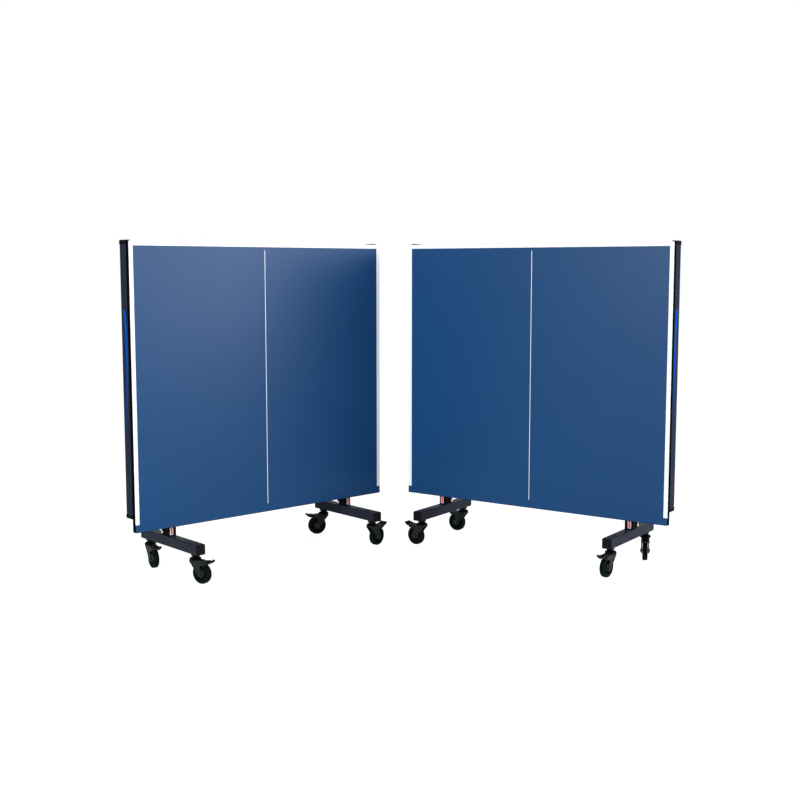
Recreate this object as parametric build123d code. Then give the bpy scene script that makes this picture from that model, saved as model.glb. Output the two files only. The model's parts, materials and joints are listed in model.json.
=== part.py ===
from build123d import *
import math
import os

# Table tennis table in two separate halves, each folded upright on its own wheeled chassis.
# Sizes are in millimetres, +Z is up and the floor is Z = 0.
#
# Each half is drawn in a frame of its own: X runs along the net edge from the middle of the
# half, Y runs from the playing surface (Y = 0) to the back, Z is the height above the floor.
# The two halves are the same product, placed as a V that opens towards -Y.

# ---- Playing board ----
board_width = 1525.0  # along the net
board_length = 1370.0  # net edge to end edge
board_thickness = 25.0
board_corner_radius = 4.0
net_edge_height = 238.0  # floor to the net edge of a stored half
playing_height = 760.0  # floor to the playing surface in play

# ---- Apron rails behind the board's two sides and its end ----
apron_depth = 61.0
apron_flange = 20.0
apron_wall = 2.0
apron_inset = 1.0  # board edge to the rail's outer face
apron_setback = 62.0  # net edge to the lower end of the side aprons
lower_cap_length = 18.0
corner_cap_run = 22.0  # along the end edge
corner_cap_drop = 16.0  # along the side edge
corner_cap_rise = 5.0  # stands past the end edge
corner_cap_radius = 7.0
cap_lip = 1.0  # caps are this much deeper than the rail

# ---- Steel frame under the board ----
stringer_width = 40.0
stringer_depth = 24.0
stringer_wall = 2.0
stringer_setback = 45.0  # net edge to the stringers' lower ends
stringer_gap = 7.0  # leg hinge saddle to the stringer beside it
cross_rail_width = 30.0
low_cross_rail = 300.0  # net edge to each cross rail
high_cross_rail = 1130.0

# ---- Fold linkage ----
post_inset = 212.5  # the board's side edge to each post and base arm
leg_inset = 20.0  # post to the leg that folds up beside it
fold_depth = 55.0  # playing surface to the fold axis and the leg hinge axis
leg_hinge_setback = 138.0  # end edge to the leg hinge axis
link_back = 75.0  # link pivots sit behind and below the two hinge axes
link_down = 80.0
hinge_pin_radius = 6.0
link_pin_radius = 6.0
pin_clearance = 0.08  # radial, running fit
open_pivot_clearance = 0.5  # radial, at the upper end of each link bar

# ---- Hinge saddles screwed to the board ----
cheek_gap = 46.0  # between the two cheeks
cheek_thickness = 5.0
cheek_radius = 24.0
saddle_base = 5.0
saddle_half_length = 40.0
sector_radius = 58.0  # one saddle's outer cheek is the lock sector
pin_head_radius = 11.0
pin_head_thickness = 5.0
collar_radius = 12.0
side_play = 0.2  # between a collar or a head and the plate beside it

# ---- Posts on the base arms ----
post_width = 40.0
post_depth = 50.0
post_wall = 2.5
shoe_width = 46.0
shoe_depth = 56.0
shoe_height = 72.0
shoe_rounding = 2.0
shoe_clearance = 0.2
shoe_bolt_radius = 4.0
shoe_bolt_height = 17.0  # above the arm
shoe_bolt_back = 17.0  # behind the post's middle
shoe_bolt_head_radius = 7.5
shoe_bolt_head = 5.0
shoe_washer_radius = 14.0
shoe_washer = 3.0
crossbar_height = 40.0
crossbar_depth = 25.0
crossbar_wall = 2.0
crossbar_rounding = 2.0
crossbar_back = 10.0  # behind the post's middle
low_crossbar = 320.0  # floor to each crossbar
high_crossbar = 560.0
bracket_plate = 5.0
bracket_radius = 16.0

# ---- Base arms ----
arm_section = 50.0
arm_wall = 2.0
arm_corner_radius = 4.0
arm_front = 226.0  # in front of the playing surface
arm_rear = 285.0  # behind the playing surface
arm_floor_gap = 140.0
cap_flange = 4.0
cap_fit = 0.2
cap_plug_length = 76.0
cap_plug_rounding = 1.5
boss_length = 44.0
boss_width = 26.0
boss_drop = 12.0
boss_rounding = 6.0
stem_bore_spare = 2.0  # bore beyond the end of the stem

# ---- Casters ----
swivel_inset = 47.0  # arm end to swivel axis
wheel_radius = 50.0
wheel_width = 26.0
tyre_thickness = 13.0
tyre_shoulder = 5.0
tyre_seat_gap = 0.05
hub_boss_radius = 18.5
hub_web = 8.0
hub_rim = 4.0
axle_radius = 4.0
axle_head_radius = 7.5
axle_head = 4.0
caster_trail = 39.0
fork_gap = 30.0
fork_plate = 6.0
fork_boss_radius = 15.0
fork_lead = 8.0  # leading edge ahead of the swivel axis, at the waist
fork_waist = 32.0  # swivel axis to the trailing edge, at the waist
fork_waist_drop = 16.0  # underside of the crown to the waist of the cheeks
crown_back = 22.0  # swivel axis to each end of the crown
crown_front = 30.0
crown_clearance = 4.0  # tyre to crown
crown_thickness = 8.0
race_radius = 28.0
race_rim = 7.0  # height of the race's side above the crown
race_dome = 11.0  # height of its shoulder above the crown
race_slope = 4.0  # from the top of its side in to its shoulder
race_neck_radius = 15.0
race_neck_flare = 2.0
stem_radius = 5.5
stem_length = 35.0
stem_gap = 0.5  # race to boss
pedal_pin_radius = 3.0
pedal_reach = 62.0  # swivel axis to pedal pivot
pedal_tip = 104.0  # swivel axis to the pedal's toe
pedal_toe_width = 40.0
pedal_side_gap = 0.5
pedal_heel = 16.0  # pivot to the pedal's heel
pedal_heel_lift = 5.0  # pivot to the underside of the heel
pedal_heel_thickness = 5.0
pedal_belly = 4.0  # the body's depth under its pivot
pedal_neck = 22.0  # pivot to the wide toe
pedal_neck_belly = 2.0
pedal_hump_start = 8.0  # pivot to the raised top of the body
pedal_hump_lap = 3.0  # its reach over the toe
pedal_hump = 2.0  # its height over the toe's underside
pedal_rise = 12.0  # pivot to the underside of the toe's tip
pedal_toe_belly = 1.0  # depth of the toe's root under the pivot
pedal_toe_root = 8.0  # length of the toe's root
pedal_toe_root_lift = 2.0
pedal_toe_thickness = 7.0
pedal_lip = 5.0  # the raised lip along the tip
pedal_lip_slope = 4.0
ear_reach = 16.0  # pivot to the end of the ears
ear_height = 8.0  # the ears' half height
ear_cut = 6.0  # slope under the end of the ears
ear_shoulder = 4.0  # pivot to the top of the ears

# ---- Legs ----
leg_section = 40.0
leg_wall = 2.0
leg_crossbar_drop = 370.0  # leg hinge to the leg crossbar
foot_radius = 20.0
foot_thickness = 12.0
foot_rounding = 4.0
foot_gap = 26.0  # foot disc to the leg's lower end
foot_stud_radius = 6.0
foot_stud_length = 60.0
leg_plug_length = 50.0

# ---- Link bars ----
link_thickness = 8.0
link_bar_width = 22.0
link_eye_radius = 15.0
link_side_gap = 0.5
link_head_radius = 10.0
link_head = 4.0

# ---- Fold lock ----
lock_hole_radius = 45.0  # fold axis to the lock holes
lock_hole_lean = 20.0  # degrees in front of straight down
lock_boss_radius = 14.0
lock_pin_radius = 5.0
lock_pin_length = 34.0
lock_knob_radius = 12.0
lock_knob_length = 20.0
lock_knob_rounding = 3.0
lock_plate = 6.0
lock_gap = 1.0  # withdrawn pin to sector, and sector to bracket
lock_root_height = 20.0

# ---- How the two halves stand ----
left_yaw = 42.0
right_yaw = -35.0
inner_gap = 160.0  # between the two inner lower corners, along X
inner_step = 14.5  # the right one stands this much further back
caster_headings = {
    ("left", "outer", "front"): -30.0,
    ("left", "outer", "rear"): -57.0,
    ("left", "inner", "front"): 51.0,
    ("left", "inner", "rear"): 202.0,
    ("right", "inner", "front"): 142.0,
    ("right", "inner", "rear"): 146.0,
    ("right", "outer", "front"): 231.0,
    ("right", "outer", "rear"): 258.0,
}

# ---- Worked out from the sizes above ----
board_top = net_edge_height + board_length
fold_height = playing_height - fold_depth
leg_hinge_height = board_top - leg_hinge_setback
post_offset = board_width / 2 - post_inset
leg_offset = post_offset - post_width / 2 - leg_inset - leg_section / 2
link_y = fold_depth + link_back
link_low_z = fold_height - link_down
link_high_z = leg_hinge_height - link_down
arm_top = arm_floor_gap + arm_section
boss_bottom = arm_floor_gap - boss_drop
crown_bottom = 2 * wheel_radius + crown_clearance
crown_top = crown_bottom + crown_thickness
cheek_inner = cheek_gap / 2
cheek_outer = cheek_inner + cheek_thickness
post_front = fold_depth - post_depth / 2
stringer_offset = leg_offset - cheek_outer - stringer_gap - stringer_width / 2
foot_bottom = leg_hinge_height - fold_height
leg_end = foot_bottom + foot_thickness + foot_gap
link_inner = post_width / 2 + bracket_plate + link_side_gap
link_outer = link_inner + link_thickness


# ---- Shapes that repeat ----
def block(x_span, y_span, z_span):
    """A box between two limits along each axis."""
    spans = (x_span, y_span, z_span)
    middle = [(low + high) / 2 for low, high in spans]
    size = [high - low for low, high in spans]
    return Pos(*middle) * Box(*size)


def rod_x(radius, x_span, y, z):
    low, high = x_span
    return Pos((low + high) / 2, y, z) * Rot(0, 90, 0) * Cylinder(radius, high - low)


def rod_y(radius, x, y_span, z):
    low, high = y_span
    return Pos(x, (low + high) / 2, z) * Rot(90, 0, 0) * Cylinder(radius, high - low)


def rod_z(radius, x, y, z_span):
    low, high = z_span
    return Pos(x, y, (low + high) / 2) * Cylinder(radius, high - low)


def tube(x_span, y_span, z_span, wall, axis, corner=0.0):
    """A rectangular tube, open at both ends along the axis."""
    spans = {Axis.X: x_span, Axis.Y: y_span, Axis.Z: z_span}
    outer = block(x_span, y_span, z_span)
    if corner:
        outer = fillet(outer.edges().filter_by(axis), corner)
    bore = {}
    for way, (low, high) in spans.items():
        grow = wall if way == axis else -wall
        bore[way] = (low - grow, high + grow)
    return outer - block(bore[Axis.X], bore[Axis.Y], bore[Axis.Z])


def mirrored(x_span, side):
    """A span measured outwards from the middle, put on one side of it."""
    low, high = sorted(side * value for value in x_span)
    return (low, high)


def xz_plate(points, y_span):
    """A flat plate with an outline in X and Z."""
    low, high = y_span
    outline = Plane.XZ.offset(-high) * make_face(Polyline(*points, close=True))
    return extrude(outline, high - low)


# ---- Board, apron and frame ----
def make_board():
    half = board_width / 2
    board = block((-half, half), (0, board_thickness), (net_edge_height, board_top))
    return fillet(board.edges().filter_by(Axis.Y), board_corner_radius)


def make_side_aprons():
    """Two channels, open towards the middle, between the lower and the corner caps."""
    outer = board_width / 2 - apron_inset
    y_span = (board_thickness, board_thickness + apron_depth)
    z_span = (net_edge_height + apron_setback + lower_cap_length, board_top - corner_cap_drop)
    rails = []
    for side in (-1, 1):
        solid = block(mirrored((outer - apron_flange, outer), side), y_span, z_span)
        inner_x = mirrored((outer - apron_flange - 1, outer - apron_wall), side)
        inner_y = (y_span[0] + apron_wall, y_span[1] - apron_wall)
        rails.append(solid - block(inner_x, inner_y, (z_span[0] - 1, z_span[1] + 1)))
    return rails


def make_end_apron():
    reach = board_width / 2 - corner_cap_run
    y_span = (board_thickness, board_thickness + apron_depth)
    top = board_top - apron_inset
    solid = block((-reach, reach), y_span, (top - apron_flange, top))
    inner_y = (y_span[0] + apron_wall, y_span[1] - apron_wall)
    channel = block((-reach - 1, reach + 1), inner_y, (top - apron_flange - 1, top - apron_wall))
    return [solid - channel]


def make_apron_caps():
    """A cap on the lower end of each side apron and one on each corner of the end."""
    edge = board_width / 2
    outer = edge - apron_inset + cap_lip
    y_span = (board_thickness, board_thickness + apron_depth + cap_lip)
    low = net_edge_height + apron_setback
    caps = []
    for side in (-1, 1):
        lower_x = mirrored((outer - apron_flange - cap_lip, outer), side)
        lower = block(lower_x, y_span, (low, low + lower_cap_length))
        caps.append(lower)
        corner_x = mirrored((edge - corner_cap_run, outer), side)
        corner_z = (board_top - corner_cap_drop, board_top + corner_cap_rise)
        corner = block(corner_x, y_span, corner_z)
        outer_edge = corner.edges().filter_by(Axis.Y).sort_by(Axis.X)
        outer_edge = outer_edge[2:] if side > 0 else outer_edge[:2]
        caps.append(fillet(outer_edge.sort_by(Axis.Z)[-1:], corner_cap_radius))
    return caps


def make_board_frame():
    """Two stringers along the board with cross rails between them."""
    y_span = (board_thickness, board_thickness + stringer_depth)
    top = board_top - apron_inset - apron_flange
    z_span = (net_edge_height + stringer_setback, top)
    near = stringer_offset - stringer_width / 2
    far = stringer_offset + stringer_width / 2
    bars = []
    for side in (-1, 1):
        x_span = mirrored((near, far), side)
        bars.append(tube(x_span, y_span, z_span, stringer_wall, Axis.Z))
    for height in (low_cross_rail, high_cross_rail):
        middle = net_edge_height + height
        rail_z = (middle - cross_rail_width / 2, middle + cross_rail_width / 2)
        bars.append(tube((-near, near), y_span, rail_z, stringer_wall, Axis.X))
    return bars


def lock_hole_places():
    """The lock holes in the sector: one for the stored board and one for play."""
    lean = math.radians(lock_hole_lean)
    ahead = lock_hole_radius * math.sin(lean)
    down = lock_hole_radius * math.cos(lean)
    stored = (fold_depth - ahead, fold_height - down)
    in_play = (fold_depth + down, fold_height - ahead)
    return stored, in_play


def make_saddle(x_middle, z, with_sector=False):
    """A channel bracket under the board: a base and two cheeks with the hinge bore."""
    y_low = board_thickness
    y_base = board_thickness + saddle_base
    z_span = (z - saddle_half_length, z + saddle_half_length)
    saddle = block((x_middle - cheek_outer, x_middle + cheek_outer), (y_low, y_base), z_span)
    for side in (-1, 1):
        low, high = mirrored((cheek_inner, cheek_outer), side)
        x_span = (x_middle + low, x_middle + high)
        if with_sector and side > 0:
            cheek = rod_x(sector_radius, x_span, fold_depth, z)
            behind_board = (y_low, fold_depth + sector_radius + 1)
            cheek &= block(x_span, behind_board, (z - sector_radius - 1, z + sector_radius + 1))
            for hole_y, hole_z in lock_hole_places():
                cheek -= rod_x(lock_pin_radius + pin_clearance, x_span, hole_y, hole_z)
        else:
            cheek = block(x_span, (y_low, fold_depth), (z - cheek_radius, z + cheek_radius))
            cheek += rod_x(cheek_radius, x_span, fold_depth, z)
        saddle += cheek
    reach = cheek_outer + 1
    bore = (x_middle - reach, x_middle + reach)
    return saddle - rod_x(hinge_pin_radius + pin_clearance, bore, fold_depth, z)


def make_hinge_saddles():
    saddles = []
    for side in (-1, 1):
        saddles.append(make_saddle(side * post_offset, fold_height, side > 0))
        saddles.append(make_saddle(side * leg_offset, leg_hinge_height))
    return saddles


# ---- Pins ----
def hinge_pin(x_middle, z, carrier_width):
    """The pin of a saddle, with collars that centre the post or leg between the cheeks."""
    shank = cheek_outer + side_play
    pin = rod_x(hinge_pin_radius, (x_middle - shank, x_middle + shank), fold_depth, z)
    for side in (-1, 1):
        low, high = mirrored((carrier_width / 2 + side_play, cheek_inner - side_play), side)
        pin += rod_x(collar_radius, (x_middle + low, x_middle + high), fold_depth, z)
        low, high = mirrored((shank, shank + pin_head_thickness), side)
        pin += rod_x(pin_head_radius, (x_middle + low, x_middle + high), fold_depth, z)
    return pin


def link_pin(side, plate_inner, z):
    """The pin of a link bar, through a bracket plate on a post or a leg."""
    inner = plate_inner - side_play
    outer = post_offset + link_outer + side_play
    spans = (
        (link_pin_radius, inner, outer),
        (link_head_radius, inner - link_head, inner),
        (link_head_radius, outer, outer + link_head),
    )
    pin = None
    for radius, low, high in spans:
        x_span = mirrored((low, high), side)
        rod = rod_x(radius, x_span, link_y, z)
        pin = rod if pin is None else pin + rod
    return pin


def shoe_bolt(side):
    """A cross bolt through the shoe and the post, with a washer and a head on each face."""
    y = fold_depth + shoe_bolt_back
    z = arm_top + shoe_bolt_height
    face = shoe_width / 2
    x_middle = side * post_offset
    bolt = rod_x(shoe_bolt_radius, (x_middle - face, x_middle + face), y, z)
    for way in (-1, 1):
        low, high = mirrored((face, face + shoe_washer), way)
        bolt += rod_x(shoe_washer_radius, (x_middle + low, x_middle + high), y, z)
        low, high = mirrored((face + shoe_washer, face + shoe_washer + shoe_bolt_head), way)
        bolt += rod_x(shoe_bolt_head_radius, (x_middle + low, x_middle + high), y, z)
    return bolt


def make_chassis_pins():
    pins = []
    for side in (-1, 1):
        pins.append(hinge_pin(side * post_offset, fold_height, post_width))
        pins.append(link_pin(side, post_offset + post_width / 2, link_low_z))
        pins.append(shoe_bolt(side))
    return pins


def make_leg_pins():
    pins = []
    for side in (-1, 1):
        pins.append(hinge_pin(side * leg_offset, leg_hinge_height, leg_section))
        pins.append(link_pin(side, leg_offset + leg_section / 2, link_high_z))
    return pins


# ---- Chassis ----
def rounded_head_tube(x_middle, z_low, z_axis, width, depth, wall):
    """An upright tube with a round head about an axis along X at its top."""
    x_span = (x_middle - width / 2, x_middle + width / 2)
    y_span = (fold_depth - depth / 2, fold_depth + depth / 2)
    outer = block(x_span, y_span, (z_low, z_axis))
    outer += rod_x(depth / 2, x_span, fold_depth, z_axis)
    bore_x = (x_span[0] + wall, x_span[1] - wall)
    bore_y = (y_span[0] + wall, y_span[1] - wall)
    bore = block(bore_x, bore_y, (z_low - 1, z_axis))
    bore += rod_x(depth / 2 - wall, bore_x, fold_depth, z_axis)
    outer -= bore
    reach = width / 2 + 1
    pin_hole = (x_middle - reach, x_middle + reach)
    return outer - rod_x(hinge_pin_radius + pin_clearance, pin_hole, fold_depth, z_axis)


def link_bracket(side, inner, z, depth):
    """A plate on the outboard face of a post or a leg that carries a link pin."""
    x_span = mirrored((inner, inner + bracket_plate), side)
    y_span = (fold_depth, link_y)
    plate = block(x_span, y_span, (z - bracket_radius, z + bracket_radius))
    plate += rod_x(bracket_radius, x_span, link_y, z)
    root_z = (z - 2 * bracket_radius, z + bracket_radius)
    plate += block(x_span, (fold_depth, fold_depth + depth / 2), root_z)
    hole = (x_span[0] - 1, x_span[1] + 1)
    return plate - rod_x(link_pin_radius + pin_clearance, hole, link_y, z)


def make_lock_bracket():
    """An arm on the outboard face of one post, with the bore for the lock pin."""
    (hole_y, hole_z), _ = lock_hole_places()
    face = post_offset + post_width / 2
    plate_inner = post_offset + cheek_outer + lock_gap
    x_plate = (plate_inner, plate_inner + lock_plate)
    y_span = (hole_y - lock_boss_radius, hole_y + lock_boss_radius)
    root_high = fold_height - sector_radius - 2 * lock_gap
    root_low = root_high - lock_root_height
    plate = block(x_plate, y_span, (root_low, hole_z))
    plate += rod_x(lock_boss_radius, x_plate, hole_y, hole_z)
    root_y = (post_front, fold_depth - lock_gap)
    plate += block((face, x_plate[1]), root_y, (root_low, root_high))
    hole = (x_plate[0] - 1, x_plate[1] + 1)
    return plate - rod_x(lock_pin_radius + pin_clearance, hole, hole_y, hole_z)


def make_posts():
    posts = []
    for side in (-1, 1):
        x_middle = side * post_offset
        post = rounded_head_tube(x_middle, arm_top, fold_height, post_width, post_depth, post_wall)
        post += link_bracket(side, post_offset + post_width / 2, link_low_z, post_depth)
        reach = post_width / 2 + 1
        bolt = (x_middle - reach, x_middle + reach)
        bolt_y = fold_depth + shoe_bolt_back
        post -= rod_x(shoe_bolt_radius + pin_clearance, bolt, bolt_y, arm_top + shoe_bolt_height)
        if side > 0:
            (hole_y, hole_z), _ = lock_hole_places()
            wall = (x_middle + post_width / 2 - post_wall, x_middle + reach)
            post -= rod_x(lock_pin_radius + pin_clearance, wall, hole_y, hole_z)
            post += make_lock_bracket()
        posts.append(post)
    return posts


def make_post_shoes():
    """Black moulded shoes that hold the posts on the base arms."""
    shoes = []
    for side in (-1, 1):
        x_middle = side * post_offset
        half = shoe_width / 2
        y_span = (fold_depth - shoe_depth / 2, fold_depth + shoe_depth / 2)
        z_span = (arm_top, arm_top + shoe_height)
        shoe = block((x_middle - half, x_middle + half), y_span, z_span)
        shoe = fillet(shoe.edges().filter_by(Axis.Z), shoe_rounding)
        bore_half = post_width / 2 + shoe_clearance
        bore_depth = post_depth / 2 + shoe_clearance
        bore_y = (fold_depth - bore_depth, fold_depth + bore_depth)
        bore_z = (arm_top - 1, z_span[1] + 1)
        shoe -= block((x_middle - bore_half, x_middle + bore_half), bore_y, bore_z)
        bolt = (x_middle - half - 1, x_middle + half + 1)
        bolt_y = fold_depth + shoe_bolt_back
        shoe -= rod_x(shoe_bolt_radius + pin_clearance, bolt, bolt_y, arm_top + shoe_bolt_height)
        shoes.append(shoe)
    return shoes


def make_crossbars():
    reach = post_offset - post_width / 2
    y_middle = fold_depth + crossbar_back
    y_span = (y_middle - crossbar_depth / 2, y_middle + crossbar_depth / 2)
    bars = []
    for level in (low_crossbar, high_crossbar):
        z_span = (level - crossbar_height / 2, level + crossbar_height / 2)
        bars.append(tube((-reach, reach), y_span, z_span, crossbar_wall, Axis.X, crossbar_rounding))
    return bars


def swivel_places():
    """Distance behind the playing surface of the front and the rear swivel axis."""
    return {"front": swivel_inset - arm_front, "rear": arm_rear - swivel_inset}


def make_base_arms():
    arms = []
    for side in (-1, 1):
        x_middle = side * post_offset
        x_span = (x_middle - arm_section / 2, x_middle + arm_section / 2)
        y_span = (cap_flange - arm_front, arm_rear - cap_flange)
        z_span = (arm_floor_gap, arm_top)
        arm = tube(x_span, y_span, z_span, arm_wall, Axis.Y, arm_corner_radius)
        for y in swivel_places().values():
            half_x = boss_width / 2 + cap_fit
            half_y = boss_length / 2 + cap_fit
            slot_z = (arm_floor_gap - 1, arm_floor_gap + arm_wall + 1)
            arm -= block((x_middle - half_x, x_middle + half_x), (y - half_y, y + half_y), slot_z)
        arms.append(arm)
    return arms


def make_arm_caps():
    """End plugs of the base arms; the boss through the tube's underside holds the caster stem."""
    caps = []
    plug_half = arm_section / 2 - arm_wall - cap_fit
    places = swivel_places()
    for side in (-1, 1):
        for end, way, edge in (("front", 1, -arm_front), ("rear", -1, arm_rear)):
            x = side * post_offset
            y = places[end]
            flange_y = tuple(sorted((edge, edge + way * cap_flange)))
            half = arm_section / 2
            cap = block((x - half, x + half), flange_y, (arm_floor_gap, arm_top))
            cap = fillet(cap.edges().filter_by(Axis.Y), arm_corner_radius)
            plug_y = tuple(sorted((edge, edge + way * cap_plug_length)))
            z_middle = arm_floor_gap + half
            plug_z = (z_middle - plug_half, z_middle + plug_half)
            plug = block((x - plug_half, x + plug_half), plug_y, plug_z)
            cap += fillet(plug.edges().filter_by(Axis.Y), cap_plug_rounding)
            boss_y = (y - boss_length / 2, y + boss_length / 2)
            boss_x = (x - boss_width / 2, x + boss_width / 2)
            boss = block(boss_x, boss_y, (boss_bottom, z_middle))
            cap += fillet(boss.edges().filter_by(Axis.Z), boss_rounding)
            bore_top = boss_bottom + stem_length + stem_bore_spare
            cap -= rod_z(stem_radius + pin_clearance, x, y, (boss_bottom - 1, bore_top))
            caps.append(cap)
    return caps


# ---- Legs ----
def make_legs():
    """Two legs, the plug in the lower end of each, and the crossbar between them."""
    pieces = []
    for side in (-1, 1):
        x = side * leg_offset
        leg = rounded_head_tube(x, leg_end, leg_hinge_height, leg_section, leg_section, leg_wall)
        leg += link_bracket(side, leg_offset + leg_section / 2, link_high_z, leg_section)
        pieces.append(leg)
        half = leg_section / 2
        inner = half - leg_wall - cap_fit
        y_inner = (fold_depth - inner, fold_depth + inner)
        plug = block((x - inner, x + inner), y_inner, (leg_end, leg_end + leg_plug_length))
        flange_y = (fold_depth - half, fold_depth + half)
        plug += block((x - half, x + half), flange_y, (leg_end - cap_flange, leg_end))
        stud = (leg_end - cap_flange - 1, leg_end + leg_plug_length + 1)
        plug -= rod_z(foot_stud_radius + pin_clearance, x, fold_depth, stud)
        pieces.append(plug)
    level = leg_hinge_height - leg_crossbar_drop
    reach = leg_offset - leg_section / 2
    y_span = (fold_depth + leg_section / 2 - crossbar_depth, fold_depth + leg_section / 2)
    z_span = (level - crossbar_height / 2, level + crossbar_height / 2)
    pieces.append(tube((-reach, reach), y_span, z_span, crossbar_wall, Axis.X, crossbar_rounding))
    return pieces


def make_foot(side):
    """A levelling foot: a disc on a threaded stud."""
    x = side * leg_offset
    disc_top = foot_bottom + foot_thickness
    foot = rod_z(foot_radius, x, fold_depth, (foot_bottom, disc_top))
    rim = foot.edges().filter_by(GeomType.CIRCLE).sort_by(Axis.Z)[-1:]
    foot = fillet(rim, foot_rounding)
    stud = rod_z(foot_stud_radius, x, fold_depth, (disc_top, disc_top + foot_stud_length))
    return [foot + stud]


# ---- Link bars and lock ----
def make_link_bars():
    bars = []
    for side in (-1, 1):
        x_span = mirrored((post_offset + link_inner, post_offset + link_outer), side)
        half = link_bar_width / 2
        bar = block(x_span, (link_y - half, link_y + half), (link_low_z, link_high_z))
        bar += rod_x(link_eye_radius, x_span, link_y, link_low_z)
        bar += rod_x(link_eye_radius, x_span, link_y, link_high_z)
        hole = (x_span[0] - 1, x_span[1] + 1)
        bar -= rod_x(link_pin_radius + pin_clearance, hole, link_y, link_low_z)
        bar -= rod_x(link_pin_radius + open_pivot_clearance, hole, link_y, link_high_z)
        bars.append(bar)
    return bars


def make_lock_pin():
    """The lock's pull pin, withdrawn: it slides inwards through the sector into the post."""
    (hole_y, hole_z), _ = lock_hole_places()
    tip = post_offset + cheek_outer + lock_gap
    knob = tip + lock_pin_length
    pin = rod_x(lock_pin_radius, (tip, knob), hole_y, hole_z)
    grip = rod_x(lock_knob_radius, (knob, knob + lock_knob_length), hole_y, hole_z)
    rims = grip.edges().filter_by(GeomType.CIRCLE)
    return [pin + fillet(rims, lock_knob_rounding)]


# ---- Casters, drawn with the swivel axis on Z and the wheel trailing along X ----
def make_fork():
    """The fork with its race and stem in one piece, and the axle bolt."""
    stem_top = boss_bottom + stem_length
    race_top = boss_bottom - stem_gap
    outline = [
        (0, crown_top - 1),
        (race_radius, crown_top - 1),
        (race_radius, crown_top + race_rim),
        (race_radius - race_slope, crown_top + race_dome),
        (race_neck_radius + race_neck_flare, crown_top + race_dome),
        (race_neck_radius, race_top),
        (stem_radius, race_top),
        (stem_radius, stem_top),
        (0, stem_top),
    ]
    fork = revolve(Plane.XZ * make_face(Polyline(*outline, close=True)), Axis.Z)
    inner = fork_gap / 2
    outer = inner + fork_plate
    fork += block((-crown_back, crown_front), (-outer, outer), (crown_bottom, crown_top))
    boss_low = caster_trail - fork_boss_radius
    boss_high = caster_trail + fork_boss_radius
    pivot_height = 2 * wheel_radius
    ear_tip = pedal_reach + ear_reach
    waist = crown_bottom - fork_waist_drop
    plate_outline = [
        (-crown_back, crown_top),
        (-crown_back, crown_bottom),
        (-fork_lead, waist),
        (boss_low, wheel_radius),
        (boss_high, wheel_radius),
        (fork_waist, waist),
        (ear_tip - ear_cut, pivot_height - ear_height),
        (ear_tip, pivot_height),
        (pedal_reach + ear_shoulder, pivot_height + ear_height),
        (crown_front, crown_top),
    ]
    axle_bolt = rod_y(axle_radius, caster_trail, (-outer - 1, outer + 1), wheel_radius)
    for side in (-1, 1):
        y_span = mirrored((inner, outer), side)
        plate = xz_plate(plate_outline, y_span)
        plate += rod_y(fork_boss_radius, caster_trail, y_span, wheel_radius)
        hole = (y_span[0] - 1, y_span[1] + 1)
        plate -= rod_y(axle_radius + tyre_seat_gap, caster_trail, hole, wheel_radius)
        pivot = pedal_pin_radius + pin_clearance
        plate -= rod_y(pivot, pedal_reach, hole, 2 * wheel_radius)
        fork += plate
        head = mirrored((outer, outer + axle_head), side)
        axle_bolt += rod_y(axle_head_radius, caster_trail, head, wheel_radius)
    return [fork, axle_bolt]


def make_wheel():
    """The hub and the tyre on it."""
    hub_radius = wheel_radius - tyre_thickness - tyre_seat_gap
    boss = fork_gap / 2 - pedal_side_gap
    web = hub_web / 2
    rim = wheel_width / 2 - 1
    rim_inner = hub_radius - hub_rim
    bore = axle_radius + pin_clearance
    half_outline = [
        (bore, boss),
        (hub_boss_radius, boss),
        (hub_boss_radius, web),
        (rim_inner, web),
        (rim_inner, rim),
        (hub_radius, rim),
    ]
    outline = half_outline + [(r, -y) for r, y in reversed(half_outline)]
    hub = revolve(Plane.XZ * make_face(Polyline(*outline, close=True)), Axis.Z)
    seat = wheel_radius - tyre_thickness
    section = Pos(seat + tyre_thickness / 2, 0) * Rectangle(tyre_thickness, wheel_width)
    section = fillet(section.vertices().group_by(Axis.X)[-1], tyre_shoulder)
    tyre = revolve(Plane.XZ * section, Axis.Z)
    to_axle = Pos(caster_trail, 0, wheel_radius) * Rot(90, 0, 0)
    return [to_axle * hub, to_axle * tyre]


def make_pedal():
    """The brake pedal, with its two pivot stubs and the wide toe."""
    level = 2 * wheel_radius
    half = fork_gap / 2 - pedal_side_gap
    back = pedal_reach - pedal_heel
    toe = pedal_reach + pedal_neck
    tip = level + pedal_rise
    heel = level + pedal_heel_lift
    lip = tip + pedal_toe_thickness
    body_outline = [
        (back, heel),
        (pedal_reach, level - pedal_belly),
        (toe, level - pedal_neck_belly),
        (toe + pedal_hump_lap, tip + pedal_hump),
        (pedal_reach + pedal_hump_start, tip + pedal_hump),
        (back, heel + pedal_heel_thickness),
    ]
    pedal = xz_plate(body_outline, (-half, half))
    toe_outline = [
        (toe, level - pedal_toe_belly),
        (toe + pedal_toe_root, level + pedal_toe_root_lift),
        (pedal_tip, tip),
        (pedal_tip, lip),
        (pedal_tip - pedal_lip, lip),
        (pedal_tip - pedal_lip - pedal_lip_slope, lip - pedal_toe_thickness / 2),
        (toe, tip + pedal_toe_belly),
    ]
    pedal += xz_plate(toe_outline, (-pedal_toe_width / 2, pedal_toe_width / 2))
    stub = fork_gap / 2 + fork_plate + 1
    return [pedal + rod_y(pedal_pin_radius, pedal_reach, (-stub, stub), level)]


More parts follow.
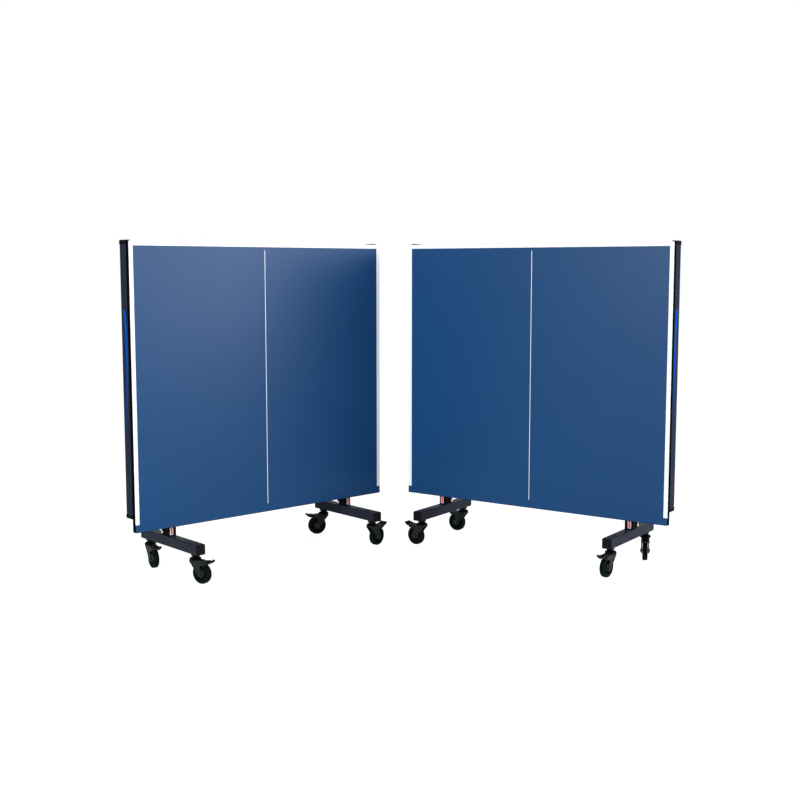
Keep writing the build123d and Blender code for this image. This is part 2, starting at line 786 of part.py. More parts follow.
# ---- One half, then both halves in their places ----
half_pieces = {
    "board": [make_board()],
    "side_aprons": make_side_aprons(),
    "end_apron": make_end_apron(),
    "apron_caps": make_apron_caps(),
    "board_frame": make_board_frame(),
    "hinge_saddles": make_hinge_saddles(),
    "base_arms": make_base_arms(),
    "arm_caps": make_arm_caps(),
    "post_shoes": make_post_shoes(),
    "posts": make_posts(),
    "crossbars": make_crossbars(),
    "chassis_pins": make_chassis_pins(),
    "legs": make_legs(),
    "leg_pins": make_leg_pins(),
    "foot_a": make_foot(-1),
    "foot_b": make_foot(1),
    "link_bars": make_link_bars(),
    "lock_pin": make_lock_pin(),
}
caster_pieces = {"fork": make_fork(), "wheel": make_wheel(), "pedal": make_pedal()}
edge_sides = {
    "left": {"outer": -1, "inner": 1},
    "right": {"inner": -1, "outer": 1},
}


def half_corner_place(yaw, corner_side, x, y):
    """Turn a half about Z and put one of its two lower front corners at a point."""
    turn = math.radians(yaw)
    reach = corner_side * board_width / 2
    return Location((x - reach * math.cos(turn), y - reach * math.sin(turn), 0), (0, 0, yaw))


places = {
    "left": half_corner_place(left_yaw, 1, -inner_gap / 2, 0),
    "right": half_corner_place(right_yaw, -1, inner_gap / 2, inner_step),
}
yaws = {"left": left_yaw, "right": right_yaw}


def caster_place(side, edge, end):
    """The swivel axis of one caster in its half's frame, with the wheel's heading."""
    x = edge_sides[side][edge] * post_offset
    heading = caster_headings[(side, edge, end)] - yaws[side]
    return Location((x, swivel_places()[end], 0), (0, 0, heading))


nodes = {}
for side, place in places.items():
    for name, solids in half_pieces.items():
        nodes[f"{side}_{name}"] = [place * solid for solid in solids]
    for edge in ("outer", "inner"):
        for end in ("front", "rear"):
            caster = place * caster_place(side, edge, end)
            for name, solids in caster_pieces.items():
                nodes[f"{side}_{edge}_{end}_{name}"] = [caster * solid for solid in solids]

# The origin is on the floor under the middle of the whole object.
whole = Compound([solid for solids in nodes.values() for solid in solids])
centre = whole.bounding_box().center()
to_origin = Pos(-centre.X, -centre.Y, 0)

os.makedirs("parts", exist_ok=True)
for name, solids in nodes.items():
    export_step(Compound([to_origin * solid for solid in solids]), f"parts/{name}.step")
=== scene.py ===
import json
import math
from contextlib import contextmanager

import bmesh
import bpy
from bpy.props import FloatProperty, FloatVectorProperty, PointerProperty
from mathutils import Matrix, Vector


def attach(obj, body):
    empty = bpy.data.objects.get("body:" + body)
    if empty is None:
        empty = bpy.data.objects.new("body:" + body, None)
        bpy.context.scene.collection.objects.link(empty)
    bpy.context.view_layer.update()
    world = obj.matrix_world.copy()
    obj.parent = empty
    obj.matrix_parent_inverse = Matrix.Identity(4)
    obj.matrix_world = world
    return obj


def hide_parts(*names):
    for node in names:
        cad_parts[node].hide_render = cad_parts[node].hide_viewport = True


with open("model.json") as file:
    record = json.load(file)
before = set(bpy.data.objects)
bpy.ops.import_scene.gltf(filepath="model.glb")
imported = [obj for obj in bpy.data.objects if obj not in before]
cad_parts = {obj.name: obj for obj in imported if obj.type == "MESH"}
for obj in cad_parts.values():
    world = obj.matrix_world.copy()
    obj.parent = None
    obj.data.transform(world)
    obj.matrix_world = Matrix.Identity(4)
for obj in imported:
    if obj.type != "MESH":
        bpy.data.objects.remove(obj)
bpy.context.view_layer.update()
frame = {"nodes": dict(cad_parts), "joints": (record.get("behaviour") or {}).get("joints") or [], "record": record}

bl_info = {
    "name": "Folding table tennis table",
    "version": (1, 0, 0),
    "blender": (4, 5, 0),
    "location": "3D View > Sidebar > Table",
    "description": "Dresses both upright halves of a rollaway table tennis table",
    "category": "Object",
}

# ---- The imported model: places come from here ----
joints = {joint["name"]: joint for joint in frame["joints"]}
mounts = {mount["name"]: mount for mount in frame["record"]["mounts"]}
SIDES = ("left", "right")
ENDS = ("front", "rear")
EDGES = ("outer", "inner")
PAIR = ((-1, "a"), (1, "b"))  # the sign of X and the letter of a half's paired pieces
mm = 0.001
overlap = 0.0005  # how far a piece reaches into the one that it stands on


def half_place(side):
    """A half's own frame: X along the net edge, Y to the back of the board, the floor at Z = 0."""
    face = mounts[f"{side}_playing_surface"]
    x, y, _ = face["pos_m"]
    facing = math.atan2(face["axis"][1], face["axis"][0])
    return Matrix.Translation((x, y, 0)) @ Matrix.Rotation(facing + math.pi / 2, 4, "Z")


def caster_place(tag):
    """A caster's own frame: the swivel axis is Z and the wheel trails along X."""
    swivel = Vector(joints[f"swivel_{tag}"]["pos_m"])
    axle = Vector(joints[f"wheel_{tag}"]["pos_m"])
    heading = math.atan2(axle.y - swivel.y, axle.x - swivel.x)
    return Matrix.Translation((swivel.x, swivel.y, 0)) @ Matrix.Rotation(heading, 4, "Z")


def corners(points):
    """Lowest and highest corner of some points."""
    low = Vector([min(point[i] for point in points) for i in range(3)])
    high = Vector([max(point[i] for point in points) for i in range(3)])
    return low, high


def span(node, place, keep=None):
    """Lowest and highest corner in a frame of the part of a CAD node that a test keeps."""
    inverse = place.inverted()
    points = [inverse @ vertex.co for vertex in frame["nodes"][node].data.vertices]
    return corners([point for point in points if not keep or keep(point)])


def half_span(node, keep=None):
    """The span of a node of the left half in its half's frame; the right half has the same."""
    return span(f"left_{node}", half_place("left"), keep)


def half_solids(node):
    """The span of each separate solid of a node of the left half, from low to high."""
    inverse = half_place("left").inverted()
    mesh = frame["nodes"][f"left_{node}"].data
    points = [inverse @ vertex.co for vertex in mesh.vertices]
    keys = [tuple(round(value, 5) for value in point) for point in points]
    leader = {key: key for key in keys}

    def find(key):
        while leader[key] != key:
            leader[key] = leader[leader[key]]
            key = leader[key]
        return key

    for face in mesh.polygons:
        first, *others = [find(keys[index]) for index in face.vertices]
        for other in others:
            leader[find(other)] = find(first)
    members = {}
    for key, point in zip(keys, points):
        members.setdefault(find(key), []).append(point)
    return sorted(map(corners, members.values()), key=lambda ends: (ends[0].z, ends[0].x))


def middle_of(low, high):
    """The middle of a span."""
    return (low + high) / 2


def half_point(joint):
    """A joint's place in the left half's frame."""
    return half_place("left").inverted() @ Vector(joints[joint]["pos_m"])


def face_at(sign, low, high, way=0):
    """Where the face of a span lies that looks along sign * an axis, which is X unless told."""
    return (high if sign > 0 else low)[way]


# ---- Pivots of the fold linkage, in a half's frame ----
fold_axis = half_point("board_fold_left")
leg_axis = half_point("leg_fold_left")
low_link = half_point("link_fold_left")
high_link = leg_axis + low_link - fold_axis


# ---- Modelling steps ----
def choose(piece):
    """Select one piece and nothing else."""
    bpy.ops.object.select_all(action="DESELECT")
    bpy.context.view_layer.objects.active = piece
    piece.select_set(True)


@contextmanager
def editing(piece):
    """Edit mode on one piece, with nothing selected to begin with."""
    choose(piece)
    bpy.ops.object.mode_set(mode="EDIT")
    bpy.ops.mesh.select_all(action="DESELECT")
    yield
    bpy.ops.object.mode_set(mode="OBJECT")


@contextmanager
def shaping(piece):
    """Edit mode on a whole piece, whose faces are turned outwards at the end."""
    with editing(piece):
        bpy.ops.mesh.select_all(action="SELECT")
        yield
        bpy.ops.mesh.select_all(action="SELECT")
        bpy.ops.mesh.normals_make_consistent(inside=False)


def pick(kind, elements, test):
    """In edit mode, select only the elements of a kind that pass a test."""
    bpy.ops.mesh.select_mode(type=kind)
    bpy.ops.mesh.select_all(action="DESELECT")
    data = bpy.context.object.data
    for element in getattr(bmesh.from_edit_mesh(data), elements):
        element.select_set(test(element))
    bmesh.update_edit_mesh(data)


def pick_faces(test):
    """Select only the faces that pass a test on their middle and normal."""
    pick("FACE", "faces", lambda face: test(face.calc_center_median(), face.normal))


def pick_edges(test):
    """Select only the edges that pass a test on their middle and direction."""

    def passes(edge):
        first, second = (vertex.co for vertex in edge.verts)
        return test((first + second) / 2, (second - first).normalized())

    pick("EDGE", "edges", passes)


def extrude(axis, distance):
    """Extrude what is selected along an axis."""
    travel = [distance if letter == axis else 0 for letter in "XYZ"]
    bpy.ops.mesh.extrude_region_move(TRANSFORM_OT_translate={"value": travel})


def bevel_along(axis, radius, segments=4, keep=lambda middle: True):
    """In edit mode, round the edges that run along an axis and that a test keeps."""
    way = "XYZ".index(axis)
    pick_edges(lambda middle, run: abs(run[way]) > 0.9 and keep(middle))
    bpy.ops.mesh.bevel(offset=radius, segments=segments, affect="EDGES")


def sink_face(axis, sign, rim, depth, keep=lambda middle: True):
    """In edit mode, press in the face that looks along sign * axis, within a rim."""
    way = "XYZ".index(axis)
    pick_faces(lambda middle, normal: normal[way] * sign > 0.9 and keep(middle))
    bpy.ops.mesh.inset(thickness=rim)
    extrude(axis, -sign * depth)


def modified(piece, kind, **values):
    """Add a modifier to a piece, set its values and apply it."""
    choose(piece)
    bpy.ops.object.modifier_add(type=kind)
    modifier = piece.modifiers[-1]
    for name, value in values.items():
        setattr(modifier, name, value)
    bpy.ops.object.modifier_apply(modifier=modifier.name)
    return piece


def smoothed(piece, angle):
    """Shade a piece smooth, apart from its edges that are sharper than an angle in degrees."""
    choose(piece)
    bpy.ops.object.shade_smooth_by_angle(angle=math.radians(angle))
    return piece


def flat_faced(piece):
    """Shade a piece smooth round its bends and leave its large faces flat."""
    return modified(smoothed(piece, 40), "WEIGHTED_NORMAL", keep_sharp=True)


def round_edges(piece, width, segments=2, limit=50):
    """Round the edges of a piece that are sharper than a limit in degrees."""
    limits = {"limit_method": "ANGLE", "angle_limit": math.radians(limit)}
    return flat_faced(modified(piece, "BEVEL", width=width, segments=segments, **limits))


def started(name, add, **shape):
    """Start a piece as a plain shape, with nothing else selected."""
    bpy.ops.object.select_all(action="DESELECT")
    add(**shape)
    piece = bpy.context.object
    piece.name = name
    return piece


def block(name, low, high):
    """Start a piece as a block between two corners."""
    low, high = Vector(low), Vector(high)
    middle = middle_of(low, high)
    piece = started(name, bpy.ops.mesh.primitive_cube_add, size=1, location=middle)
    piece.scale = high - low
    bpy.ops.object.transform_apply(location=True, rotation=False, scale=True)
    return piece


def moulding(name, low, high, soft, corner=(), sunk=(), segments=2):
    """A block with softened edges, perhaps with rounded corners and a face pressed in.

    Corner and sunk say what bevel_along and sink_face are given.
    """
    piece = block(name, low, high)
    with editing(piece):
        if corner:
            bevel_along(*corner)
        if sunk:
            sink_face(*sunk)
    return round_edges(piece, soft, segments)


def circle(name, count, fill="NGON", **shape):
    """Start a piece as a circle of points round Z."""
    add = bpy.ops.mesh.primitive_circle_add
    return started(name, add, vertices=count, fill_type=fill, **shape)


def place_points(points):
    """In edit mode, move the points of the piece to their places."""
    data = bpy.context.object.data
    for vertex, point in zip(bmesh.from_edit_mesh(data).verts, points):
        vertex.co = point
    bmesh.update_edit_mesh(data)


def outline_solid(name, outline, axis, low, high):
    """Extrude a flat outline along an axis; its points are given along the other two axes."""
    along = "XYZ".index(axis)
    piece = circle(name, len(outline), radius=1)
    with shaping(piece):
        place_points([*point[:along], low, *point[along:]] for point in outline)
        extrude(axis, high - low)
    return piece


def turned(name, stations, sides):
    """Turn a solid about Z from a list of radius and height, bottom to top."""
    radius, height = stations[0]
    piece = circle(name, sides, radius=radius, location=(0, 0, height))
    bpy.ops.object.transform_apply(location=True, rotation=False, scale=False)
    with shaping(piece):
        for wider, higher in stations[1:]:
            extrude("Z", higher - height)
            grow = wider / radius
            bpy.ops.transform.resize(value=(grow, grow, 1), center_override=(0, 0, higher))
            radius, height = wider, higher
    return piece


def spun_ring(name, section, sides):
    """Spin a closed section, given as radius and height, about Z into a ring."""
    piece = circle(name, len(section), "NOTHING", radius=1)
    with shaping(piece):
        place_points((radius, 0, height) for radius, height in section)
        bpy.ops.mesh.spin(steps=sides, angle=2 * math.pi, center=(0, 0, 0), axis=(0, 0, 1))
        bpy.ops.mesh.select_all(action="SELECT")
        bpy.ops.mesh.remove_doubles(threshold=0.00002)
    return piece


def mirrored(section):
    """Points of a section turned over in height, in the reverse order."""
    return [(radius, -height) for radius, height in reversed(section)]


def moved(piece, place):
    """Move a piece by a matrix and leave the place in its mesh."""
    choose(piece)
    piece.matrix_world = place
    bpy.ops.object.transform_apply(location=True, rotation=True, scale=True)
    return piece


def drilled(piece, radius, at, reach=0.2):
    """Cut a round hole through a piece, along X."""
    add = bpy.ops.mesh.primitive_cylinder_add
    shape = {"vertices": 32, "radius": radius, "depth": reach, "location": at}
    drill = started("drill", add, rotation=(0, math.pi / 2, 0), **shape)
    modified(piece, "BOOLEAN", operation="DIFFERENCE", object=drill)
    bpy.data.objects.remove(drill)
    return piece


def along_x(piece, at, sign=1):
    """Lay a piece turned about Z along X, with its base at a point."""
    return moved(piece, Matrix.Translation(at) @ Matrix.Rotation(sign * math.pi / 2, 4, "Y"))


def along_y(piece, at, sign=1):
    """Lay a piece turned about Z along Y, with its base at a point."""
    return moved(piece, Matrix.Translation(at) @ Matrix.Rotation(-sign * math.pi / 2, 4, "X"))


def joined(name, pieces):
    """Make one piece of several."""
    bpy.ops.object.select_all(action="DESELECT")
    bpy.context.view_layer.objects.active = pieces[0]
    for piece in pieces:
        piece.select_set(True)
    bpy.ops.object.join()
    pieces[0].name = name
    pieces[0].data.name = name
    return pieces[0]


def arc(centre, radius, start, end, steps):
    """Points on an arc, with its angles in degrees."""
    points = []
    for step in range(steps + 1):
        angle = math.radians(start + (end - start) * step / steps)
        points.append((centre[0] + radius * math.cos(angle), centre[1] + radius * math.sin(angle)))
    return points


def settle(master, name, place, body, finish, node, slot=None):
    """Copy a piece into its place, on its body, with its finish and the CAD node it stands for."""
    slot = slot or FINISHES[finish][0]
    piece = master.copy()
    piece.data = master.data.copy()
    piece.name = name
    piece.data.name = name
    bpy.context.scene.collection.objects.link(piece)
    moved(piece, place)
    piece.data.materials.clear()
    piece.data.materials.append(paint(finish))
    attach(piece, body)
    if node:
        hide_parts(node)


def settle_in_halves(master, body, finish, node=None):
    """Copy a piece made in a half's frame into both halves."""
    for side in SIDES:
        stands_for = f"{side}_{node}" if node else None
        name = f"{master.name}_{side}"
        settle(master, name, half_place(side), f"{side}_{body}", finish, stands_for)
    bpy.data.objects.remove(master)


# ---- Shader nodes ----
def add_node(tree, kind, blend=None, **values):
    """Add a shader node and set its inputs, with an underscore for the space in a name."""
    node = tree.nodes.new(f"ShaderNode{kind}")
    if blend:
        node.data_type = blend
    for name, value in values.items():
        node.inputs[name.replace("_", " ")].default_value = value
    return node


def wire(tree, *links):
    """Link sockets; each link is a node, its output, the next node and its input."""
    for source, output, target, entry in links:
        tree.links.new(source.outputs[output], target.inputs[entry])


# ---- Effects that several finishes share ----
def new_group(name, inputs, outputs):
    """Start a node group on a noise, from its inputs' values and its outputs' kinds."""
    group = bpy.data.node_groups.new(name, "ShaderNodeTree")
    for label, value in inputs.items():
        kind = "NodeSocketColor" if isinstance(value, tuple) else "NodeSocketFloat"
        socket = group.interface.new_socket(label, in_out="INPUT", socket_type=kind)
        socket.default_value = value
    for label, kind in outputs.items():
        group.interface.new_socket(label, in_out="OUTPUT", socket_type=f"NodeSocket{kind}")
    given, result = group.nodes.new("NodeGroupInput"), group.nodes.new("NodeGroupOutput")
    where, noise = add_node(group, "TexCoord"), add_node(group, "TexNoise")
    wire(group, (where, "Object", noise, "Vector"), (given, "Scale", noise, "Scale"))
    return group, given, noise, result


def make_grain_group():
    """Fine bumps: the orange peel of a powder coat or the texture of a moulding."""
    inputs = {"Scale": 900.0, "Strength": 0.2, "Depth": 0.0004}
    group, given, noise, result = new_group("fine_grain", inputs, {"Normal": "Vector"})
    noise.inputs["Detail"].default_value = 3.0
    bump = add_node(group, "Bump")
    wire(
        group,
        (noise, "Fac", bump, "Height"),
        (given, "Strength", bump, "Strength"),
        (given, "Depth", bump, "Distance"),
        (bump, "Normal", result, "Normal"),
    )
    return group


def make_tone_group():
    """A slow drift between two colours and two roughness values."""
    colours = {"First Color": (0.5, 0.5, 0.5, 1), "Second Color": (0.4, 0.4, 0.4, 1)}
    inputs = {"Scale": 3.0, **colours, "First Roughness": 0.4, "Second Roughness": 0.5}
    outputs = {"Color": "Color", "Roughness": "Float"}
    group, given, noise, result = new_group("tone_drift", inputs, outputs)
    noise.inputs["Detail"].default_value = 5.0
    noise.inputs["Roughness"].default_value = 0.6
    spread = add_node(group, "MapRange", From_Min=0.3, From_Max=0.7)
    wire(group, (noise, "Fac", spread, "Value"))
    for kind, blend in (("Color", "RGBA"), ("Roughness", "FLOAT")):
        mix = add_node(group, "Mix", blend)
        wire(
            group,
            (spread, "Result", mix, "Factor"),
            (given, f"First {kind}", mix, "A"),
            (given, f"Second {kind}", mix, "B"),
            (mix, "Result", result, kind),
        )
    return group


def shade(colour, factor):
    """A colour made lighter or darker."""
    return (*(min(1.0, channel * factor) for channel in colour[:3]), 1)


# ---- Finishes ----
def set_colour(group, name, factor=1):
    """A colour that is read from the scene's settings when its finish is made."""
    return lambda: shade(getattr(getattr(bpy.context.scene, group), name), factor)


NEAR_BLACK = (0.002, 0.002, 0.003)
FORK_COLOUR = ("table_casters", "fork_colour")
# Each finish has its slot, its colour, the scale of its tone and how much darker that gets,
# the two ends of its roughness, its grain's scale, strength and depth, its specular and metallic.
FINISHES = {
    "playing_blue": (
        "table_top", set_colour("table_boards", "playing_colour"),
        (1.6, 0.93), (0.34, 0.35), (1400, 0.12, 0.0003), 0.135, 0,
    ),
    "line_white": (
        "table_top", (0.86, 0.9, 0.93), (6, 0.97), (0.45, 0.52), (1400, 0.1, 0.0003), 0.5, 0
    ),
    "edge_black": ("table_top", NEAR_BLACK, (9, 0.8), (0.5, 0.6), (700, 0.1, 0.0003), 0, 0),
    "sealed_chipboard": (
        "table_top", (0.03, 0.032, 0.036), (7, 0.8), (0.6, 0.72), (420, 0.3, 0.0006), 0.2, 0
    ),
    "rail_navy": (
        "rail_paint", set_colour("table_rails", "rail_colour"),
        (5, 0.85), (0.42, 0.5), (1100, 0.25, 0.0004), 0.02, 0,
    ),
    "stripe_blue": (
        "rail_paint", set_colour("table_rails", "stripe_colour"),
        (5, 0.9), (0.4, 0.46), (1100, 0.15, 0.0004), 0, 0,
    ),
    "frame_charcoal": (
        "frame_paint", set_colour("table_chassis", "frame_colour"),
        (6, 0.85), (0.4, 0.48), (1100, 0.25, 0.0004), 0.05, 0,
    ),
    "moulded_black": (
        "black_plastic", NEAR_BLACK, (14, 0.8), (0.5, 0.6), (800, 0.3, 0.0004), 0.02, 0
    ),
    "plug_brown_black": (
        "black_plastic", (0.007, 0.006, 0.008),
        (14, 0.8), (0.45, 0.52), (800, 0.25, 0.0004), 0.04, 0,
    ),
    "marker_red": (
        "black_plastic", (0.83, 0.035, 0.05), (40, 0.9), (0.35, 0.42), (800, 0.1, 0.0003), 0.5, 0
    ),
    "marker_pale": (
        "black_plastic", (0.72, 0.72, 0.7), (40, 0.93), (0.4, 0.48), (800, 0.1, 0.0003), 0.5, 0
    ),
    "caster_grey": (
        "fork_plastic", set_colour(*FORK_COLOUR),
        (22, 0.8), (0.42, 0.55), (900, 0.3, 0.0004), 0.08, 0,
    ),
    "hub_grey": (
        "fork_plastic", set_colour(*FORK_COLOUR, 3),
        (22, 0.85), (0.45, 0.55), (900, 0.2, 0.0004), 0.1, 0,
    ),
    "tyre_rubber": (
        "tyre", (0.003, 0.006, 0.0065), (30, 0.75), (0.6, 0.75), (600, 0.4, 0.0005), 0.03, 0
    ),
    "bright_zinc": (
        "zinc", (0.62, 0.63, 0.66), (60, 0.82), (0.24, 0.36), (500, 0.1, 0.0003), 0.5, 1
    ),
    "blackened_steel": (
        "zinc", (0.03, 0.03, 0.032), (60, 0.8), (0.36, 0.46), (500, 0.1, 0.0003), 0.5, 1
    ),
}


def paint(name):
    """The material of a finish, made the first time that a piece asks for it."""
    material = bpy.data.materials.get(name)
    if material:
        return material
    _, colour, (tone_scale, darker), roughness, grain, specular, metallic = FINISHES[name]
    if callable(colour):
        colour = colour()
    material = bpy.data.materials.new(name)
    material.use_nodes = True
    tree = material.node_tree
    surface = tree.nodes["Principled BSDF"]
    surface.inputs["Metallic"].default_value = metallic
    surface.inputs["Specular IOR Level"].default_value = specular
    drift = tree.nodes.new("ShaderNodeGroup")
    drift.node_tree = bpy.data.node_groups.get("tone_drift") or make_tone_group()
    bumps = tree.nodes.new("ShaderNodeGroup")
    bumps.node_tree = bpy.data.node_groups.get("fine_grain") or make_grain_group()
    tones = (tone_scale, shade(colour, 1), shade(colour, darker), *roughness)
    for group, values in ((drift, tones), (bumps, grain)):
        for socket, value in zip(group.inputs, values):
            socket.default_value = value
    wire(
        tree,
        (drift, "Color", surface, "Base Color"),
        (drift, "Roughness", surface, "Roughness"),
        (bumps, "Normal", surface, "Normal"),
    )
    if name in OVERLAYS:
        OVERLAYS[name](tree, drift, surface)
    return material


def add_chips(tree, drift, surface):
    """Pressed wood under a thin dark seal, with its chips showing as flecks."""
    where = add_node(tree, "TexCoord")
    chips = add_node(tree, "TexVoronoi", Scale=230)
    cut = add_node(tree, "MapRange", From_Min=0.62, From_Max=0.95)
    flecks = add_node(tree, "Mix", "RGBA", B=(0.075, 0.066, 0.055, 1))
    wire(
        tree,
        (where, "Object", chips, "Vector"),
        (chips, "Color", cut, "Value"),
        (cut, "Result", flecks, "Factor"),
        (drift, "Color", flecks, "A"),
        (flecks, "Result", surface, "Base Color"),
    )


def add_fade(tree, drift, surface):
    """Bright blue paint that darkens to navy down the rail."""
    settings = bpy.context.scene.table_rails
    bottom, top = settings.stripe_bottom, settings.stripe_top
    where = add_node(tree, "TexCoord")
    apart = add_node(tree, "SeparateXYZ")
    fade = add_node(tree, "MapRange", From_Min=bottom, From_Max=bottom * 0.4 + top * 0.6)
    mix = add_node(tree, "Mix", "RGBA", A=shade(settings.rail_colour, 1.6))
    wire(
        tree,
        (where, "Object", apart, "Vector"),
        (apart, "Z", fade, "Value"),
        (fade, "Result", mix, "Factor"),
        (drift, "Color", mix, "B"),
        (mix, "Result", surface, "Base Color"),
    )


OVERLAYS = {"sealed_chipboard": add_chips, "stripe_blue": add_fade}


# ---- Settings ----
def length(name, description, default):
    """A setting in metres."""
    return FloatProperty(name=name, description=description, default=default, min=0, unit="LENGTH")


def colour_setting(name, description, default):
    """A setting of red, green and blue."""
    return FloatVectorProperty(
        name=name, description=description, default=default, min=0, max=1, subtype="COLOR"
    )


class BoardSettings(bpy.types.PropertyGroup):
    line_width: length("Line width", "Width of the white lines at the edges", 0.0209)
    line_margin: length("Line margin", "Board edge to the white lines", 0.0003)
    line_stop: length("Line stop", "Net edge to the lower ends of the side lines", 0.038)
    centre_width: length("Centre line width", "Width of the line down the middle", 0.003)
    centre_top_gap: length("Centre line top gap", "End line to the centre line", 0.016)
    centre_stop: length("Centre line stop", "Net edge to the lower end of the centre line", 0.043)
    band: length("Edge band", "Thickness of the band round the board's edge", 0.0012)
    paint: length("Paint", "How far the lines stand off the surface", 0.0003)
    playing_colour: colour_setting("Playing colour", "Blue of the surface", (0.0062, 0.054, 0.163))


class RailSettings(bpy.types.PropertyGroup):
    wall: length("Rail wall", "Wall thickness of the apron rails", 0.002)
    bend: length("Rail bend", "Radius of the rails' outer bends", 0.003)
    stripe_top: length("Stripe top", "Floor to the top of the stripe", 1.288)
    stripe_bottom: length("Stripe bottom", "Floor to the bottom of the stripe", 0.680)
    stripe_width: length("Stripe width", "Width of the stripe at its top", 0.022)
    rail_colour: colour_setting("Rail colour", "Powder coat of the rails", (0.008, 0.014, 0.028))
    stripe_colour: colour_setting("Stripe colour", "Bright end of the stripe", (0.0, 0.058, 0.33))


class ChassisSettings(bpy.types.PropertyGroup):
    tube_bend: length("Tube bend", "Corner radius of the base arms", 0.004)
    marker_width: length("Marker width", "Width of the position marker", 0.018)
    marker_bottom: length("Marker bottom", "Floor to the bottom of the marker", 0.195)
    frame_colour: colour_setting("Frame colour", "Powder coat of the frame", (0.009, 0.013, 0.024))


class CasterSettings(bpy.types.PropertyGroup):
    shoulder: length("Tyre shoulder", "Rounding of the tyre's shoulders", 0.006)
    ridge: length("Pedal ridge", "Height of the ridges on the pedal", 0.0012)
    fork_colour: colour_setting("Fork colour", "Moulded fork and pedal", (0.012, 0.0155, 0.0155))


class StageSettings(bpy.types.PropertyGroup):
    eye_height: length("Eye height", "Floor to the camera", 1.481)
    eye_distance: length("Eye distance", "Middle of the table to the camera", 5.98725)
    eye_shift: FloatProperty(name="Eye shift", default=-0.0212, unit="LENGTH")
    eye_pitch: FloatProperty(name="Eye pitch", default=0.1118, subtype="ANGLE")
    lens: FloatProperty(name="Focal length in millimetres", default=52.78, min=1)
    left_power: FloatProperty(name="Left softbox in watts", default=330, min=0)
    right_power: FloatProperty(name="Right softbox in watts", default=380, min=0)
    room_light: FloatProperty(name="Strength of the room's light", default=0.42, min=0)


SETTINGS = {
    "table_boards": BoardSettings,
    "table_rails": RailSettings,
    "table_chassis": ChassisSettings,
    "table_casters": CasterSettings,
    "table_stage": StageSettings,
}


# ---- Boards ----
board_corner = 0.004  # radius of the board's corners


def make_panels():
    """The panel with its painted face, the band round its four edges and its sealed back."""
    band = bpy.context.scene.table_boards.band
    low, high = half_span("board")
    inset = Vector((band, 0, band))
    core = block("playing_board", low + inset, high - inset - Vector((0, band, 0)))
    settle_in_halves(round_edges(core, 0.0004, 2, 30), "top", "playing_blue", "board")
    set_back = Vector((0, 0.0002, 0))
    rim = block("edge_band", low + set_back, high - set_back)
    with editing(rim):
        bevel_along("Y", board_corner)
        pick_faces(lambda middle, normal: abs(normal.y) > 0.9)
        bpy.ops.mesh.inset(thickness=band, use_individual=True)
        bpy.ops.mesh.bridge_edge_loops()
    settle_in_halves(round_edges(rim, 0.0003), "top", "edge_black")
    low += inset
    low.y = high.y - band
    sheet = block("board_backing", low, high - inset - Vector((0, 0.0001, 0)))
    settle_in_halves(round_edges(sheet, 0.0003, 1, 30), "top", "sealed_chipboard")


def make_lines():
    """The end line and the two side lines in one piece, and the thin centre line."""
    settings = bpy.context.scene.table_boards
    low, high = half_span("board")
    near, far = low.y - settings.paint, low.y + settings.paint
    edge, width = settings.line_margin, settings.line_width
    top = high.z - edge
    end_line = block("end_line", (low.x + edge, near, top - width), (high.x - edge, far, top))
    with editing(end_line):
        bevel_along("Y", board_corner - edge, keep=lambda middle: top - middle.z < mm)
    strips = [end_line]
    stop = low.z + settings.line_stop
    for start in (low.x + edge, high.x - edge - width):
        strips.append(block("side_line", (start, near, stop), (start + width, far, top - width)))
    lines = joined("boundary_lines", strips)
    with editing(lines):
        bpy.ops.mesh.select_all(action="SELECT")
        bpy.ops.mesh.remove_doubles(threshold=0.00005)
    settle_in_halves(lines, "top", "line_white")
    half = settings.centre_width / 2
    centre_low = (-half, near, low.z + settings.centre_stop)
    centre_high = (half, far, top - width - settings.centre_top_gap)
    settle_in_halves(block("centre_line", centre_low, centre_high), "top", "line_white")


# ---- Apron rails and caps ----
def make_channel(name, low, high, axis, sign, bend_axis, node):
    """A folded rail, hollowed from the face that looks along sign * axis and bent opposite."""
    settings = bpy.context.scene.table_rails
    way = "XYZ".index(axis)
    outer = face_at(-sign, low, high, way)
    rail = block(name, low, high)
    with editing(rail):
        sink_face(axis, sign, settings.wall, high[way] - low[way] - settings.wall)
    with editing(rail):
        bevel_along(bend_axis, settings.bend, keep=lambda middle: abs(middle[way] - outer) < mm)
    settle_in_halves(round_edges(rail, 0.0004), "top", "rail_navy", node)


def make_side_aprons():
    """The rail along each side with its stripe."""
    for sign, label in PAIR:
        low, high = half_span("side_aprons", lambda point: point.x * sign > 0)
        node = "side_aprons" if sign < 0 else None
        make_channel(f"side_apron_{label}", low, high, "X", -sign, "Z", node)
        make_stripe(label, sign, face_at(sign, low, high), low.y, high.y)


def make_stripe(label, sign, outer, front, back):
    """A painted stripe on the rail's outer face that swings over and tapers to a point."""
    settings = bpy.context.scene.table_rails
    steps, tip, least, paint = 40, 0.06, 0.0003, 0.0002
    run = settings.stripe_top - settings.stripe_bottom
    edges = ([], [])
    for step in range(steps + 1):
        t = (1 - math.cos(math.pi * step / steps)) / 2
        swing = 0.481 + 1.395 * t - 2.155 * t**2 + 0.468 * t**3
        middle = back + (front - back) * swing
        half = settings.stripe_width / 2 * (1 - 0.55 * math.sqrt(t))
        from_top = min(1, t * run / half)
        from_tip = min(1, (1 - t) * run / tip)
        half *= math.sqrt(1 - (1 - from_top) ** 2) * math.sqrt(from_tip)
        half = max(half, least)
        height = settings.stripe_top - run * t
        edges[0].append((middle - half, height))
        edges[1].append((middle + half, height))
    outline = edges[0] + edges[1][::-1]
    ends = sorted((outer - sign * overlap, outer + sign * paint))
    stripe = outline_solid(f"apron_stripe_{label}", outline, "X", *ends)
    settle_in_halves(stripe, "top", "stripe_blue")


